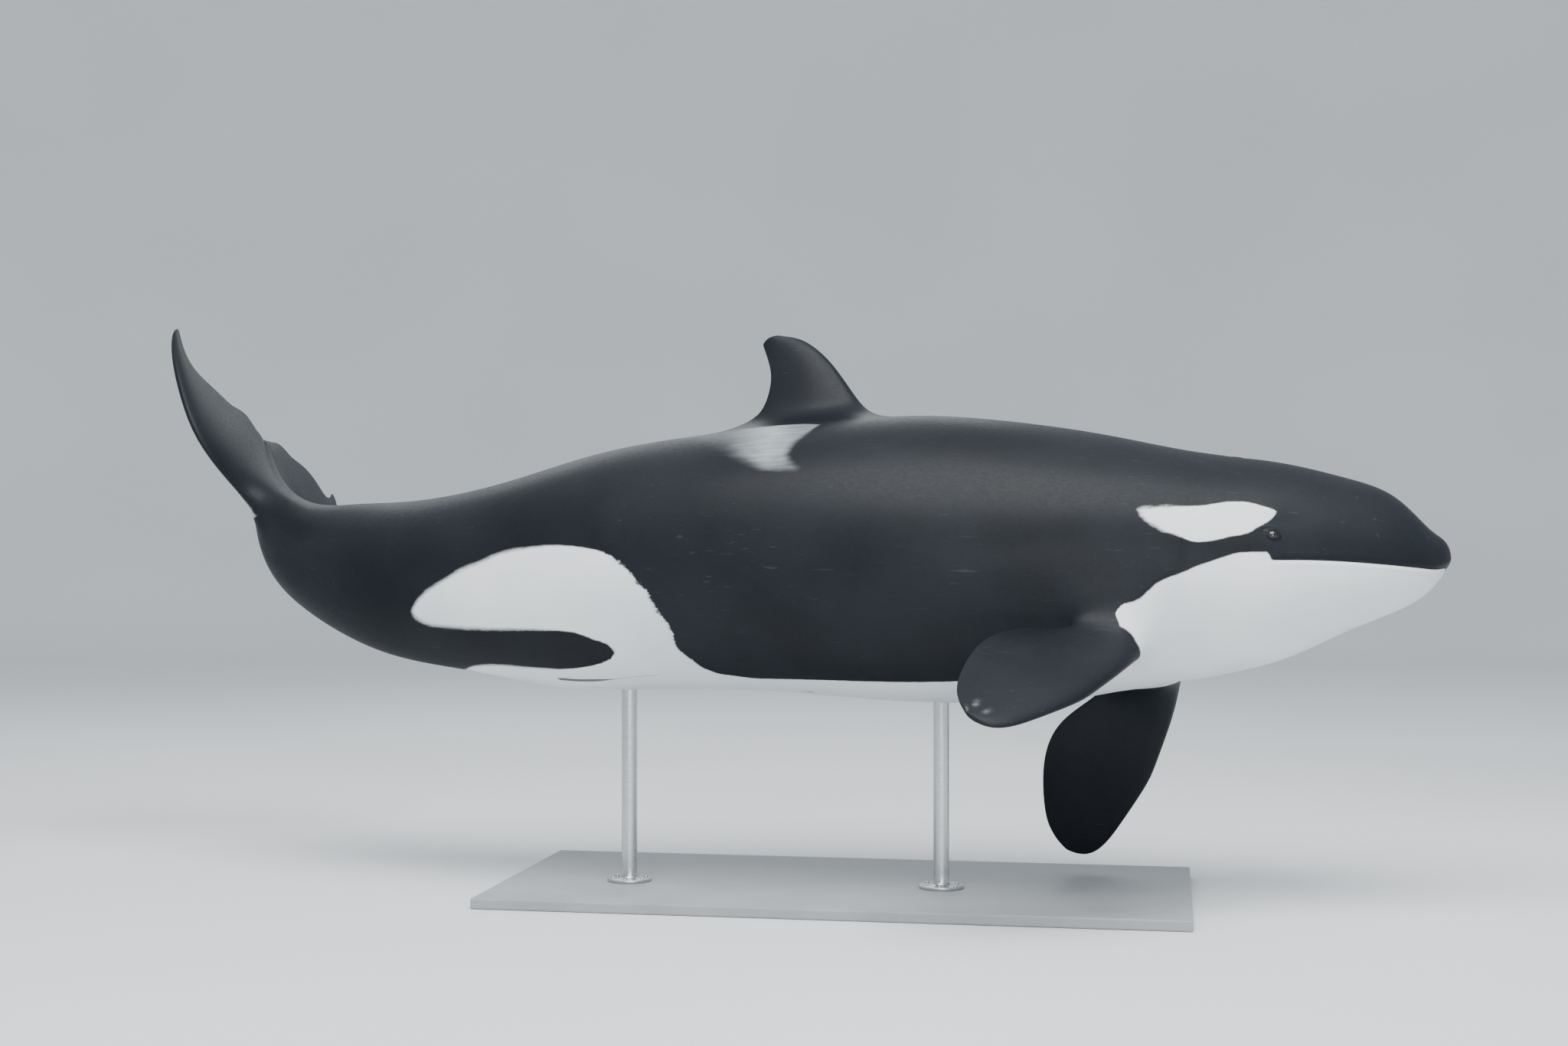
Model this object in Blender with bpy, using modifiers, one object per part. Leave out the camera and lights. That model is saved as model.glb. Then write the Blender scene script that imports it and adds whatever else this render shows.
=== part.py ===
"""A still, life-size orca, banking as it swims, on a plain display stand.

Metres, +Z up. The head points along +X and the animal's right side along -Y.
The floor is z = 0 and the origin is the middle of the stand's underside.
The animal is one closed skin, lofted from girths along a bent backbone, with
the fins grown from holes in it. Thin cuts then part it where its parts meet.
"""
import bmesh
import bpy
import numpy as np
from mathutils import Matrix, Vector

# ------------------------------------------------------------------ the animal's sizes, in metres
LENGTH = 5.44            # snout to fluke notch, along the back's bend
BANK = 15.0              # the right side is rolled up by this many degrees at mid-body
REF = 1.776              # reference station, from the snout
REF_PLACE = (0.45, -0.05, 1.285)  # body axis there, from the middle of the stand's underside

# Bends of the backbone at stations from the snout: upward flex of the tail,
# swing of the tail to the left, and extra roll of the right side, in degrees.
BEND = np.array([
    [0.00, 0.0, 0.0, 0.0],
    [1.00, 0.0, 0.0, 0.0],
    [2.00, 0.0, 0.0, 0.0],
    [3.00, 0.0, 3.0, 3.0],
    [3.60, 0.0, 9.0, 8.0],
    [4.20, 9.0, 16.0, 12.0],
    [4.60, 29.0, 21.0, 14.0],
    [4.90, 50.0, 23.0, 15.0],
    [5.20, 64.0, 24.0, 15.0],
    [5.44, 68.0, 24.0, 15.0],
])

# Girth of the body at stations from the snout: back and belly from the axis,
# half width, height of the widest line, and how full the upper and lower
# quarters are (1 an ellipse, more a keel, less a box).
GIRTH = np.array([
    [0.000, 0.000, 0.000, 0.000, -0.020, 1.00, 1.00],
    [0.020, 0.060, 0.045, 0.066, -0.020, 0.95, 0.95],
    [0.080, 0.108, 0.122, 0.132, -0.030, 0.92, 0.95],
    [0.200, 0.226, 0.195, 0.203, -0.040, 0.92, 0.95],
    [0.380, 0.298, 0.272, 0.266, -0.045, 0.95, 0.95],
    [0.620, 0.354, 0.381, 0.328, -0.045, 0.97, 0.95],
    [0.900, 0.391, 0.450, 0.382, -0.045, 0.98, 0.95],
    [1.250, 0.459, 0.522, 0.438, -0.040, 1.00, 0.95],
    [1.650, 0.521, 0.548, 0.470, -0.030, 1.00, 0.95],
    [2.050, 0.537, 0.542, 0.475, -0.010, 1.00, 0.95],
    [2.450, 0.508, 0.521, 0.450, 0.000, 1.02, 0.98],
    [2.850, 0.467, 0.514, 0.402, -0.010, 1.05, 1.00],
    [3.250, 0.404, 0.520, 0.335, -0.030, 1.10, 1.05],
    [3.650, 0.318, 0.458, 0.258, -0.040, 1.18, 1.15],
    [4.050, 0.282, 0.373, 0.185, -0.030, 1.28, 1.28],
    [4.400, 0.258, 0.248, 0.130, -0.010, 1.35, 1.35],
    [4.700, 0.190, 0.158, 0.098, 0.000, 1.35, 1.35],
    [4.950, 0.120, 0.092, 0.082, 0.000, 1.25, 1.25],
    [5.200, 0.058, 0.048, 0.068, 0.000, 1.10, 1.10],
    [5.440, 0.018, 0.018, 0.036, 0.000, 1.00, 1.00],
])

# Outlines of the fins, root to tip: leading edge, then trailing edge.
# Dorsal fin: (station, height above the axis).
DORSAL_EDGE = [(2.120, 0.535), (2.195, 0.628), (2.257, 0.715), (2.318, 0.792), (2.385, 0.852), (2.455, 0.886), (2.545, 0.899)]
DORSAL_BACK = [(2.735, 0.490), (2.612, 0.548), (2.562, 0.612), (2.545, 0.680), (2.546, 0.748), (2.566, 0.815), (2.586, 0.868)]
# Pectoral fins: (distance from the root, distance ahead of the fin's middle line).
PECTORAL_EDGE = [(-0.030, 0.122), (0.065, 0.131), (0.180, 0.136), (0.310, 0.138), (0.440, 0.142), (0.560, 0.128), (0.680, 0.106), (0.780, 0.080), (0.842, 0.036), (0.860, -0.030)]
PECTORAL_BACK = [(0.095, -0.112), (0.148, -0.136), (0.210, -0.172), (0.280, -0.216), (0.360, -0.254), (0.450, -0.272), (0.560, -0.257), (0.680, -0.212), (0.785, -0.150), (0.853, -0.066)]
# Where each one leaves the body (station, to the left, up), its way out and its
# leading edge's way, each as forward, left and up.
PECTORAL_RIGHT = ((1.150, -0.323, -0.346), (-0.55, -0.66, -0.51), (0.79, -0.24, -0.56))
PECTORAL_LEFT = ((1.040, 0.338, -0.323), (-0.37, 0.45, -0.81), (0.93, 0.22, -0.31))
# How the two lobes are carried, right then left: their tips' curve down, per
# distance out squared, how far the lobe is swung ahead, per distance out, how
# far its outer part is tucked ahead, per distance beyond FLUKE_BEND squared, and
# how far the middle of its trailing edge bulges aft.
FLUKE_CURL = (0.0, 0.15)
FLUKE_SWING = (0.0, 0.12)
FLUKE_TUCK = (0.0, 2.0)
FLUKE_BEND = 0.35
FLUKE_BULGE = (0.0, 0.056)
# Fluke lobes: (distance from the middle line, distance aft of the notch).
FLUKE_EDGE = [(0.030, -0.555), (0.100, -0.512), (0.210, -0.482), (0.330, -0.437), (0.450, -0.350), (0.530, -0.200), (0.575, -0.040), (0.588, 0.080), (0.582, 0.170), (0.560, 0.228)]
FLUKE_BACK = [(0.030, 0.020), (0.075, 0.056), (0.125, 0.062), (0.195, 0.032), (0.290, 0.036), (0.390, 0.045), (0.460, 0.066), (0.505, 0.115), (0.530, 0.175), (0.547, 0.231)]


def curve(xs, ys):
    """Natural cubic curve through points, straight beyond its ends."""
    x = np.asarray(xs, float)
    y = np.asarray(ys, float)
    n = len(x)
    h = np.diff(x)
    a = np.eye(n)
    r = np.zeros(n)
    for i in range(1, n - 1):
        a[i, i - 1], a[i, i], a[i, i + 1] = h[i - 1], 2 * (h[i - 1] + h[i]), h[i]
        r[i] = 6 * ((y[i + 1] - y[i]) / h[i] - (y[i] - y[i - 1]) / h[i - 1])
    m = np.linalg.solve(a, r)
    first = (y[1] - y[0]) / h[0] - h[0] * (2 * m[0] + m[1]) / 6
    last = (y[-1] - y[-2]) / h[-1] + h[-1] * (m[-2] + 2 * m[-1]) / 6

    def at(t):
        t = np.asarray(t, float)
        i = np.clip(np.searchsorted(x, t) - 1, 0, n - 2)
        p, q, w = x[i + 1] - t, t - x[i], h[i]
        v = (m[i] * p**3 + m[i + 1] * q**3) / (6 * w)
        v = v + (y[i] / w - m[i] * w / 6) * p + (y[i + 1] / w - m[i + 1] * w / 6) * q
        v = np.where(t < x[0], y[0] + first * (t - x[0]), v)
        return np.where(t > x[-1], y[-1] + last * (t - x[-1]), v)

    return at


def edge(points):
    """Smooth edge through 2-D points, from 0 at the first to 1 at the last."""
    points = np.asarray(points, float)
    u = np.linspace(0, 1, len(points))
    fx, fy = curve(u, points[:, 0]), curve(u, points[:, 1])
    return lambda t: np.stack([fx(t), fy(t)], -1)


def unit(v):
    return v / np.linalg.norm(v, axis=-1, keepdims=True)


class Spine:
    """The bent middle line, with the body's forward, left and up directions along it."""

    def __init__(self):
        count = 1201
        self.s = np.linspace(-0.05, LENGTH + 0.3, count)
        bend = np.radians(np.stack([curve(BEND[:, 0], BEND[:, k])(self.s) for k in (1, 2, 3)], 1))
        ref = int(np.argmin(abs(self.s - REF)))
        c, d = np.cos(np.radians(BANK)), np.sin(np.radians(BANK))
        axes = np.zeros((count, 3, 3))
        axes[ref] = np.array([[1, 0, 0], [0, c, d], [0, -d, c]])
        for i in range(ref, count - 1):
            axes[i + 1] = self.turned(axes[i], bend[i + 1] - bend[i])
        for i in range(ref, 0, -1):
            axes[i - 1] = self.turned(axes[i], bend[i - 1] - bend[i])
        forward = axes[:, :, 0]
        step = self.s[1] - self.s[0]
        place = np.zeros((count, 3))
        place[1:] = -np.cumsum((forward[1:] + forward[:-1]) / 2 * step, axis=0)
        self.place = place - place[ref] + np.array(REF_PLACE)
        self.axes = axes

    @staticmethod
    def turned(axes, by):
        flex, swing, roll = by
        f, l, u = axes[:, 0], axes[:, 1], axes[:, 2]
        f2 = unit(f - flex * u - swing * l)
        u2 = u + flex * f + roll * l
        u2 = unit(u2 - f2 * (u2 @ f2))
        return np.stack([f2, np.cross(u2, f2), u2], 1)

    def at(self, s):
        s = np.asarray(s, float)
        pick = lambda a: np.stack([np.interp(s, self.s, a[:, k]) for k in range(3)], -1)
        return (pick(self.place), unit(pick(self.axes[:, :, 0])), unit(pick(self.axes[:, :, 1])), unit(pick(self.axes[:, :, 2])))


SPINE = Spine()
GIRTH_AT = [curve(np.sqrt(GIRTH[:, 0]), GIRTH[:, k]) for k in range(1, 7)]


def section(s, phi):
    """Left and up offsets of the skin at a station. phi is 0 at the back, pi/2 on the left, pi at the belly."""
    q = np.sqrt(np.maximum(s, 0))
    back, belly, wide, mid, upper, lower = [f(q) for f in GIRTH_AT]
    c, d = np.cos(phi), np.sin(phi)
    full = np.where(c >= 0, upper, lower)
    y = wide * np.sign(d) * np.abs(d) ** full
    z = mid + np.where(c >= 0, back - mid, belly + mid) * c
    return y, z


def skin_point(s, phi):
    s, phi = np.broadcast_arrays(np.asarray(s, float), np.asarray(phi, float))
    y, z = section(s, phi)
    place, f, l, u = SPINE.at(s)
    return place + l * y[..., None] + u * z[..., None]


def local(s, forward=0.0, left=0.0, up=0.0):
    """World point at offsets from the axis at a station."""
    place, f, l, u = SPINE.at(s)
    return place + f * forward + l * left + u * up


class Fin:
    """A blade between a leading and a trailing edge, with a streamlined section."""

    def __init__(self, lead, trail, origin, along, ahead, thick, curl=0.0, first=0.0):
        self.lead, self.trail = edge(lead), edge(trail)
        self.origin, self.along = origin, unit(along)
        self.ahead = unit(ahead - self.along * (ahead @ self.along))
        self.flat = np.cross(self.along, self.ahead)
        self.thick = curve([k[0] for k in thick], [k[1] for k in thick])
        self.curl, self.first = curl, first

    def loop(self, u, half):
        """Points of the section at u: leading edge, one face, trailing edge, other face."""
        m = np.arange(2 * half)
        k = np.where(m <= half, m, 2 * half - m) / half
        side = np.where(m <= half, 1.0, -1.0)
        t = (1 - np.cos(np.pi * k)) / 2
        shape = 2.969 * np.sqrt(t) - 1.260 * t - 3.516 * t**2 + 2.843 * t**3 - 1.036 * t**4
        a, b = self.lead(u), self.trail(u)
        p = a + (b - a) * t[:, None]
        lift = self.curl * p[:, 0] ** 2
        return (self.origin + self.along * p[:, :1] + self.ahead * p[:, 1:]
                + self.flat * (side * shape * float(self.thick(u)) + lift)[:, None])


def fins():
    """The blades, by name."""
    place, f, l, u = SPINE.at(2.4)
    blades = {"dorsal_fin": Fin([(z, -s) for s, z in DORSAL_EDGE], [(z, -s) for s, z in DORSAL_BACK],
                                place + f * 2.4, u, f, [(0, 0.056), (0.3, 0.040), (0.7, 0.024), (1, 0.010)])}
    for name, (root, out, front) in (("pectoral_fin_right", PECTORAL_RIGHT), ("pectoral_fin_left", PECTORAL_LEFT)):
        axes = np.stack(SPINE.at(root[0])[1:])
        blades[name] = Fin(PECTORAL_EDGE, PECTORAL_BACK, local(root[0], 0, root[1], root[2]), np.array(out) @ axes, np.array(front) @ axes,
                           [(0, 0.056), (0.25, 0.042), (0.6, 0.027), (1, 0.009)])
    place, f, l, u = SPINE.at(LENGTH - 0.12)
    notch = SPINE.at(LENGTH)[0]
    for k, (name, side) in enumerate((("fluke_right", -1), ("fluke_left", 1))):
        lead, trail = [[(a, c - FLUKE_SWING[k] * a - FLUKE_TUCK[k] * max(a - FLUKE_BEND, 0) ** 2) for a, c in line] for line in (FLUKE_EDGE, FLUKE_BACK)]
        trail = [(a, c + FLUKE_BULGE[k] * np.exp(-(((a - 0.34) / 0.17) ** 2))) for a, c in trail]
        blades[name] = Fin(lead, trail, notch, l * side, -f,
                           [(0, 0.048), (0.2, 0.038), (0.5, 0.026), (0.8, 0.015), (1, 0.006)], -FLUKE_CURL[k] * side)
    return blades


# Rows of the body grid: end of each stretch and its number of rows.
STRETCHES = [(0.06, 2), (0.38, 5), (0.98, 6), (1.23, 3), (1.30, 1), (2.10, 6), (2.76, 7), (3.60, 6), (4.86, 11), (5.40, 7), (5.44, 1)]
COLUMNS = 32
# Holes of the grid where blades grow: station range, column range, column of the
# leading edge, and the sections' places between root and tip.
HOLES = {
    "dorsal_fin": (2.10, 2.76, -1, 1, 0, (0.10, 0.22, 0.38, 0.55, 0.72, 0.86, 0.95, 1.0)),
    "pectoral_fin_left": (0.98, 1.23, 10, 14, 12, (0.09, 0.19, 0.32, 0.45, 0.58, 0.70, 0.81, 0.90, 0.96, 1.0)),
    "pectoral_fin_right": (1.063, 1.30, 18, 22, 20, (0.09, 0.19, 0.32, 0.45, 0.58, 0.70, 0.81, 0.90, 0.96, 1.0)),
    "fluke_left": (4.86, 5.40, 4, 12, 8, (0.12, 0.22, 0.34, 0.46, 0.58, 0.69, 0.79, 0.88, 0.95, 1.0)),
    "fluke_right": (4.86, 5.40, 20, 28, 24, (0.12, 0.22, 0.34, 0.46, 0.58, 0.69, 0.79, 0.88, 0.95, 1.0)),
}
ROOT_FALL = (0.7, 0.5)   # how the drawing smooth of a pectoral fin's root fades, step by step
ROOT_ROUNDS = 8
SHOULDER = (1.11, 135.0)  # station and turn round which the columns crowd


def columns(s):
    """Turn of each column at a station, closer together where the pectoral fins grow."""
    turn = 2 * np.pi * np.arange(COLUMNS) / COLUMNS
    turn, s = np.broadcast_arrays(turn[None, :], np.asarray(s, float)[:, None])
    near = 0.45 * np.exp(-((s - SHOULDER[0]) / 0.45) ** 2)
    warped = turn.copy()
    for middle in (np.radians(SHOULDER[1]), 2 * np.pi - np.radians(SHOULDER[1])):
        d = turn - middle
        warped = warped - near * d * np.exp(-((d / np.radians(35)) ** 2))
    return warped


def relaxed(points, faces, rings):
    """The points with the skin round each ring drawn smooth, most at the ring and less a few steps from it."""
    ends = np.array([(a, b) for face in faces for a, b in zip(face, face[1:] + face[:1])])
    count = np.bincount(ends[:, 0], minlength=len(points))[:, None]
    weight = np.zeros(len(points))
    for ring in rings:
        step = np.zeros(len(points))
        step[ring] = 1
        for fall in ROOT_FALL:
            beyond = np.zeros(len(points))
            np.maximum.at(beyond, ends[:, 1], step[ends[:, 0]] * fall)
            np.maximum.at(beyond, ends[:, 0], step[ends[:, 1]] * fall)
            step = np.maximum(step, beyond)
        weight = np.maximum(weight, step)
    for k in range(ROOT_ROUNDS):
        mean = np.zeros_like(points)
        np.add.at(mean, ends[:, 0], points[ends[:, 1]])
        points = points + 0.5 * weight[:, None] * (mean / np.maximum(count, 1) - points)
    return points


def cage():
    """Vertices and faces of the whole skin, one closed surface."""
    rows = [0.006]
    for end, count in STRETCHES:
        rows += list(np.linspace(rows[-1], end, count + 1)[1:])
    rows = np.array(rows)
    points = list(skin_point(rows[:, None], columns(rows)).reshape(-1, 3))
    at = lambda i, j: i * COLUMNS + j % COLUMNS
    open_faces = set()
    loops = {}
    for name, (s0, s1, j0, j1, jl, places) in HOLES.items():
        i0, i1 = int(np.argmin(abs(rows - s0))), int(np.argmin(abs(rows - s1)))
        open_faces |= {(i, j % COLUMNS) for i in range(i0, i1) for j in range(j0, j1)}
        ring = [(i0, j) for j in range(j0, j1)] + [(i, j1) for i in range(i0, i1)]
        ring += [(i1, j) for j in range(j1, j0, -1)] + [(i, j0) for i in range(i1, i0, -1)]
        start = ring.index((i0, jl))
        ring = ring[start:] + ring[:start]
        loops[name] = [at(i, j) for i, j in ring]
    faces = []
    for i in range(len(rows) - 1):
        for j in range(COLUMNS):
            if (i, j) not in open_faces:
                faces.append((at(i, j), at(i + 1, j), at(i + 1, j + 1), at(i, j + 1)))
    points.append(skin_point(0.0, 0.0))
    nose = len(points) - 1
    faces += [(nose, at(0, j), at(0, j + 1)) for j in range(COLUMNS)]
    last = len(rows) - 1
    points.append(local(LENGTH))
    tail = len(points) - 1
    faces += [(tail, at(last, j + 1), at(last, j)) for j in range(COLUMNS)]
    for name, blade in fins().items():
        loop = loops[name]
        half = len(loop) // 2
        edge_points = np.array([points[k] for k in loop])
        mirrored = (edge_points[1:half] - edge_points[half + 1:][::-1]).mean(0) @ blade.flat < 0
        for u in HOLES[name][5]:
            ring = blade.loop(u, half)
            if mirrored:
                ring = np.concatenate([ring[:1], ring[1:][::-1]])
            new = list(range(len(points), len(points) + 2 * half))
            points += list(ring)
            faces += [(loop[k], new[k], new[(k + 1) % (2 * half)], loop[(k + 1) % (2 * half)]) for k in range(2 * half)]
            loop = new
        faces.append((loop[-1], loop[1], loop[0]))
        faces += [(loop[-k], loop[-k - 1], loop[k + 1], loop[k]) for k in range(1, half - 1)]
        faces.append((loop[half + 1], loop[half], loop[half - 1]))
    faces = [face[::-1] for face in faces]
    return relaxed(np.array(points), faces, [loops[name] for name in ("pectoral_fin_left", "pectoral_fin_right")]), faces


# ------------------------------------------------------------------ cuts between the parts
GAP = 0.00035            # width of every cut
HEAD_END = 0.88          # stations where the head and the tail stock begin and end
STOCK_START = 3.40
MOUTH = [(-0.100, -0.046), (0.028, -0.058), (0.107, -0.074), (0.280, -0.078), (0.500, -0.082), (0.640, -0.090)]
GAPE_BACK = [(0.660, -0.106), (0.735, -0.240), (0.800, -0.400), (0.840, -0.700)]
DORSAL_CUT = ((2.05, 0.552), (2.85, 0.490))
PECTORAL_CUT = 0.040     # height of a pectoral fin's cut over the body
FLUKE_CUT = 0.100        # distance of a fluke's cut from the middle line

EYE = (0.645, 0.000)     # station and height above the axis
EYE_RADIUS = 0.024
EYE_SINK = 0.0155        # how far the eye's centre lies under the skin

# ------------------------------------------------------------------ the stand
BASE_SIZE = (2.60, 1.20, 0.040)
ROD_RADIUS = 0.030
ROD_STATIONS = (1.85, 3.05)
ROD_DEPTH = 0.080        # how far a rod runs into the belly
FLANGE = (0.085, 0.012)  # radius and height of a rod's foot

for old in list(bpy.data.objects):
    bpy.data.objects.remove(old, do_unlink=True)

PARTS = bpy.data.collections.new("orca")
CUTTERS = bpy.data.collections.new("cutters")
for group in (PARTS, CUTTERS):
    bpy.context.scene.collection.children.link(group)


def material(name, colour, roughness, metallic=0.0):
    made = bpy.data.materials.new(name)
    made.use_nodes = True
    shader = made.node_tree.nodes["Principled BSDF"]
    shader.inputs["Base Color"].default_value = (*colour, 1)
    shader.inputs["Roughness"].default_value = roughness
    shader.inputs["Metallic"].default_value = metallic
    return made


def add(name, bm, group=PARTS, look=None):
    mesh = bpy.data.meshes.new(name)
    bm.to_mesh(mesh)
    bm.free()
    made = bpy.data.objects.new(name, mesh)
    group.objects.link(made)
    if look:
        mesh.materials.append(look)
    if group is CUTTERS:
        made.hide_render = True
        made.display_type = "WIRE"
    return made


def cutter_box(name, centre, axes, size):
    """Box of the given size, its edges along the three axes."""
    bm = bmesh.new()
    bmesh.ops.create_cube(bm, size=1)
    turn = Matrix([[float(axes[c][r]) for c in range(3)] for r in range(3)])
    for v in bm.verts:
        v.co = turn @ Vector(c * k for c, k in zip(v.co, size)) + Vector(map(float, centre))
    bmesh.ops.recalc_face_normals(bm, faces=bm.faces)
    return add(name, bm, CUTTERS)


def cutter_rod(name, centre, radius, length):
    bm = bmesh.new()
    bmesh.ops.create_cone(bm, cap_ends=True, segments=28, radius1=radius, radius2=radius, depth=length,
                          matrix=Matrix.Translation(Vector(map(float, centre))))
    return add(name, bm, CUTTERS)


def frame_at(s):
    place, f, l, u = SPINE.at(s)
    return place, (f, l, u)


def jaw_cutter():
    """Thin bent sheet along the mouth line and down behind the jaw."""
    line = np.array(MOUTH + GAPE_BACK)
    way = np.gradient(line, axis=0)
    side = np.stack([-way[:, 1], way[:, 0]], 1) / np.linalg.norm(way, axis=1)[:, None] * GAP / 2
    outline = np.concatenate([line + side, (line - side)[::-1]])
    bm = bmesh.new()
    low = [bm.verts.new(local(0.5, 0.5 - s, -0.6, z)) for s, z in outline]
    bm.faces.new(low)
    grown = bmesh.ops.extrude_face_region(bm, geom=list(bm.faces))
    left = Vector(map(float, SPINE.at(0.5)[2])) * 1.2
    bmesh.ops.translate(bm, vec=left, verts=[v for v in grown["geom"] if isinstance(v, bmesh.types.BMVert)])
    bmesh.ops.recalc_face_normals(bm, faces=bm.faces)
    return add("cut_jaw", bm, CUTTERS)


def eye_centre(side):
    phi = np.radians(np.linspace(40, 140, 2001))
    phi = phi if side > 0 else 2 * np.pi - phi
    height = section(EYE[0], phi)[1]
    turn = phi[int(np.argmin(abs(height - EYE[1])))]
    step = 1e-3
    out = np.cross(skin_point(EYE[0] + step, turn) - skin_point(EYE[0] - step, turn),
                   skin_point(EYE[0], turn + step) - skin_point(EYE[0], turn - step))
    at = skin_point(EYE[0], turn)
    out = unit(out) * np.sign(out @ (at - SPINE.at(EYE[0])[0]))
    return at - out * EYE_SINK, out


def rod_place(s):
    """Lowest skin point of a station."""
    ring = skin_point(s, np.linspace(0, 2 * np.pi, 721))
    return ring[int(np.argmin(ring[:, 2]))]


# ------------------------------------------------------------------ the whole animal
points, faces = cage()
bm = bmesh.new()
verts = [bm.verts.new(p) for p in points]
for face in faces:
    bm.faces.new([verts[k] for k in face])
bmesh.ops.delete(bm, geom=[v for v in bm.verts if not v.link_faces], context="VERTS")
bmesh.ops.triangulate(bm, faces=bm.faces)
whole = add("whole", bm, CUTTERS)

cutters = [jaw_cutter()]
for name, s in (("cut_neck", HEAD_END), ("cut_stock", STOCK_START)):
    centre, axes = frame_at(s)
    cutters.append(cutter_box(name, centre, axes, (GAP, 1.6, 1.6)))
(s0, z0), (s1, z1) = DORSAL_CUT
centre, (f, l, u) = frame_at((s0 + s1) / 2)
along = unit(f * (s1 - s0) - u * (z1 - z0))
cutters.append(cutter_box("cut_dorsal", centre + u * (z0 + z1) / 2, (along, l, np.cross(along, l)), (0.95, 0.30, GAP)))
for side, turn, s in (("left", 135.0, 1.10), ("right", 225.0, 1.17)):
    turn = np.radians(turn)
    a = unit(skin_point(s + 0.10, turn) - skin_point(s - 0.10, turn))
    b = skin_point(s, turn + 0.05) - skin_point(s, turn - 0.05)
    b = unit(b - a * (a @ b))
    out = np.cross(a, b)
    out = out * np.sign(out @ (skin_point(s, turn) - SPINE.at(s)[0]))
    cutters.append(cutter_box("cut_pectoral_" + side, skin_point(s, turn) + out * PECTORAL_CUT, (a, b, out), (0.70, 0.62, GAP)))
centre, (f, l, u) = frame_at(LENGTH - 0.12)
for side, way in (("left", 1), ("right", -1)):
    cutters.append(cutter_box("cut_fluke_" + side, centre + l * way * FLUKE_CUT - f * (-0.05), (f, l, u), (0.80, GAP, 0.60)))
rods = [rod_place(s) for s in ROD_STATIONS]
for k, p in enumerate(rods):
    cutters.append(cutter_rod("bore_%d" % k, p + np.array([0, 0, ROD_DEPTH - 0.5 + 0.0003]), ROD_RADIUS + 0.0003, 1.0))
for side, way in (("left", 1), ("right", -1)):
    centre, out = eye_centre(way)
    bm = bmesh.new()
    bmesh.ops.create_uvsphere(bm, u_segments=16, v_segments=10, radius=EYE_RADIUS + 0.0008,
                              matrix=Matrix.Translation(Vector(map(float, centre))) @ Vector(map(float, out)).to_track_quat("Z", "Y").to_matrix().to_4x4())
    cutters.append(add("socket_" + side, bm, CUTTERS))

cuts = bpy.data.collections.new("cuts")
CUTTERS.children.link(cuts)
for cutter in cutters:
    cuts.objects.link(cutter)
cut = whole.modifiers.new("cuts", "BOOLEAN")
cut.operation = "DIFFERENCE"
cut.solver = "EXACT"
cut.operand_type = "COLLECTION"
cut.collection = cuts
bpy.context.view_layer.update()
cut_mesh = bpy.data.meshes.new_from_object(whole.evaluated_get(bpy.context.evaluated_depsgraph_get()))
whole.modifiers.remove(cut)

# ------------------------------------------------------------------ the parts, each by a point near its middle
LANDMARKS = {
    "head": local(0.45, 0, 0, 0.15),
    "lower_jaw": local(0.35, 0, 0, -0.20),
    "trunk": local(2.0),
    "tail_stock": local(4.2),
}
for name, blade in fins().items():
    LANDMARKS[name] = blade.loop(0.6, 8).mean(0)
LOOKS = {
    "head": ((0.012, 0.014, 0.018), 0.30), "lower_jaw": ((0.78, 0.79, 0.78), 0.32), "trunk": ((0.012, 0.014, 0.018), 0.30),
    "tail_stock": ((0.014, 0.016, 0.020), 0.30), "dorsal_fin": ((0.018, 0.020, 0.025), 0.32),
    "pectoral_fin_left": ((0.016, 0.018, 0.022), 0.32), "pectoral_fin_right": ((0.016, 0.018, 0.022), 0.32),
    "fluke_left": ((0.016, 0.018, 0.022), 0.32), "fluke_right": ((0.016, 0.018, 0.022), 0.32),
}

bm = bmesh.new()
bm.from_mesh(cut_mesh)
left_over = set(bm.verts)
islands = []
while left_over:
    start = left_over.pop()
    island, front = [start], [start]
    while front:
        v = front.pop()
        for e in v.link_edges:
            other = e.other_vert(v)
            if other in left_over:
                left_over.remove(other)
                island.append(other)
                front.append(other)
    islands.append(island)
print("pieces after the cuts:", len(islands), [len(k) for k in islands])
places = [np.array([v.co[:] for v in island]) for island in islands]
for name, mark in LANDMARKS.items():
    # The piece whose surface comes nearest to its landmark's own middle.
    best = min(range(len(islands)), key=lambda k: np.linalg.norm(places[k] - mark, axis=1).min() + (0 if len(islands[k]) > 20 else 9))
    keep = set(islands[best])
    piece = bmesh.new()
    copies = {v: piece.verts.new(v.co) for v in islands[best]}
    for face in bm.faces:
        if face.verts[0] in keep:
            piece.faces.new([copies[v] for v in face.verts])
    bmesh.ops.triangulate(piece, faces=piece.faces)
    bmesh.ops.recalc_face_normals(piece, faces=piece.faces)
    made = add(name, piece, PARTS, material(name, *LOOKS[name]))
    made.data.shade_smooth()
bm.free()

for side, way in (("left", 1), ("right", -1)):
    centre, out = eye_centre(way)
    bm = bmesh.new()
    bmesh.ops.create_uvsphere(bm, u_segments=16, v_segments=10, radius=EYE_RADIUS)
    made = add("eye_" + side, bm, PARTS, material("eye_" + side, (0.020, 0.013, 0.010), 0.08))
    made.location = centre
    made.rotation_euler = Vector(map(float, out)).to_track_quat("Z", "Y").to_euler()
    made.data.shade_smooth()

# ------------------------------------------------------------------ the stand
bm = bmesh.new()
bmesh.ops.create_cube(bm, size=1)
bmesh.ops.scale(bm, vec=BASE_SIZE, verts=bm.verts)
base = add("stand_base", bm, PARTS, material("stand_base", (0.55, 0.56, 0.57), 0.45))
base.location = (0, 0, BASE_SIZE[2] / 2)
soft = base.modifiers.new("edges", "BEVEL")
soft.width = 0.006
soft.segments = 2

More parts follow.
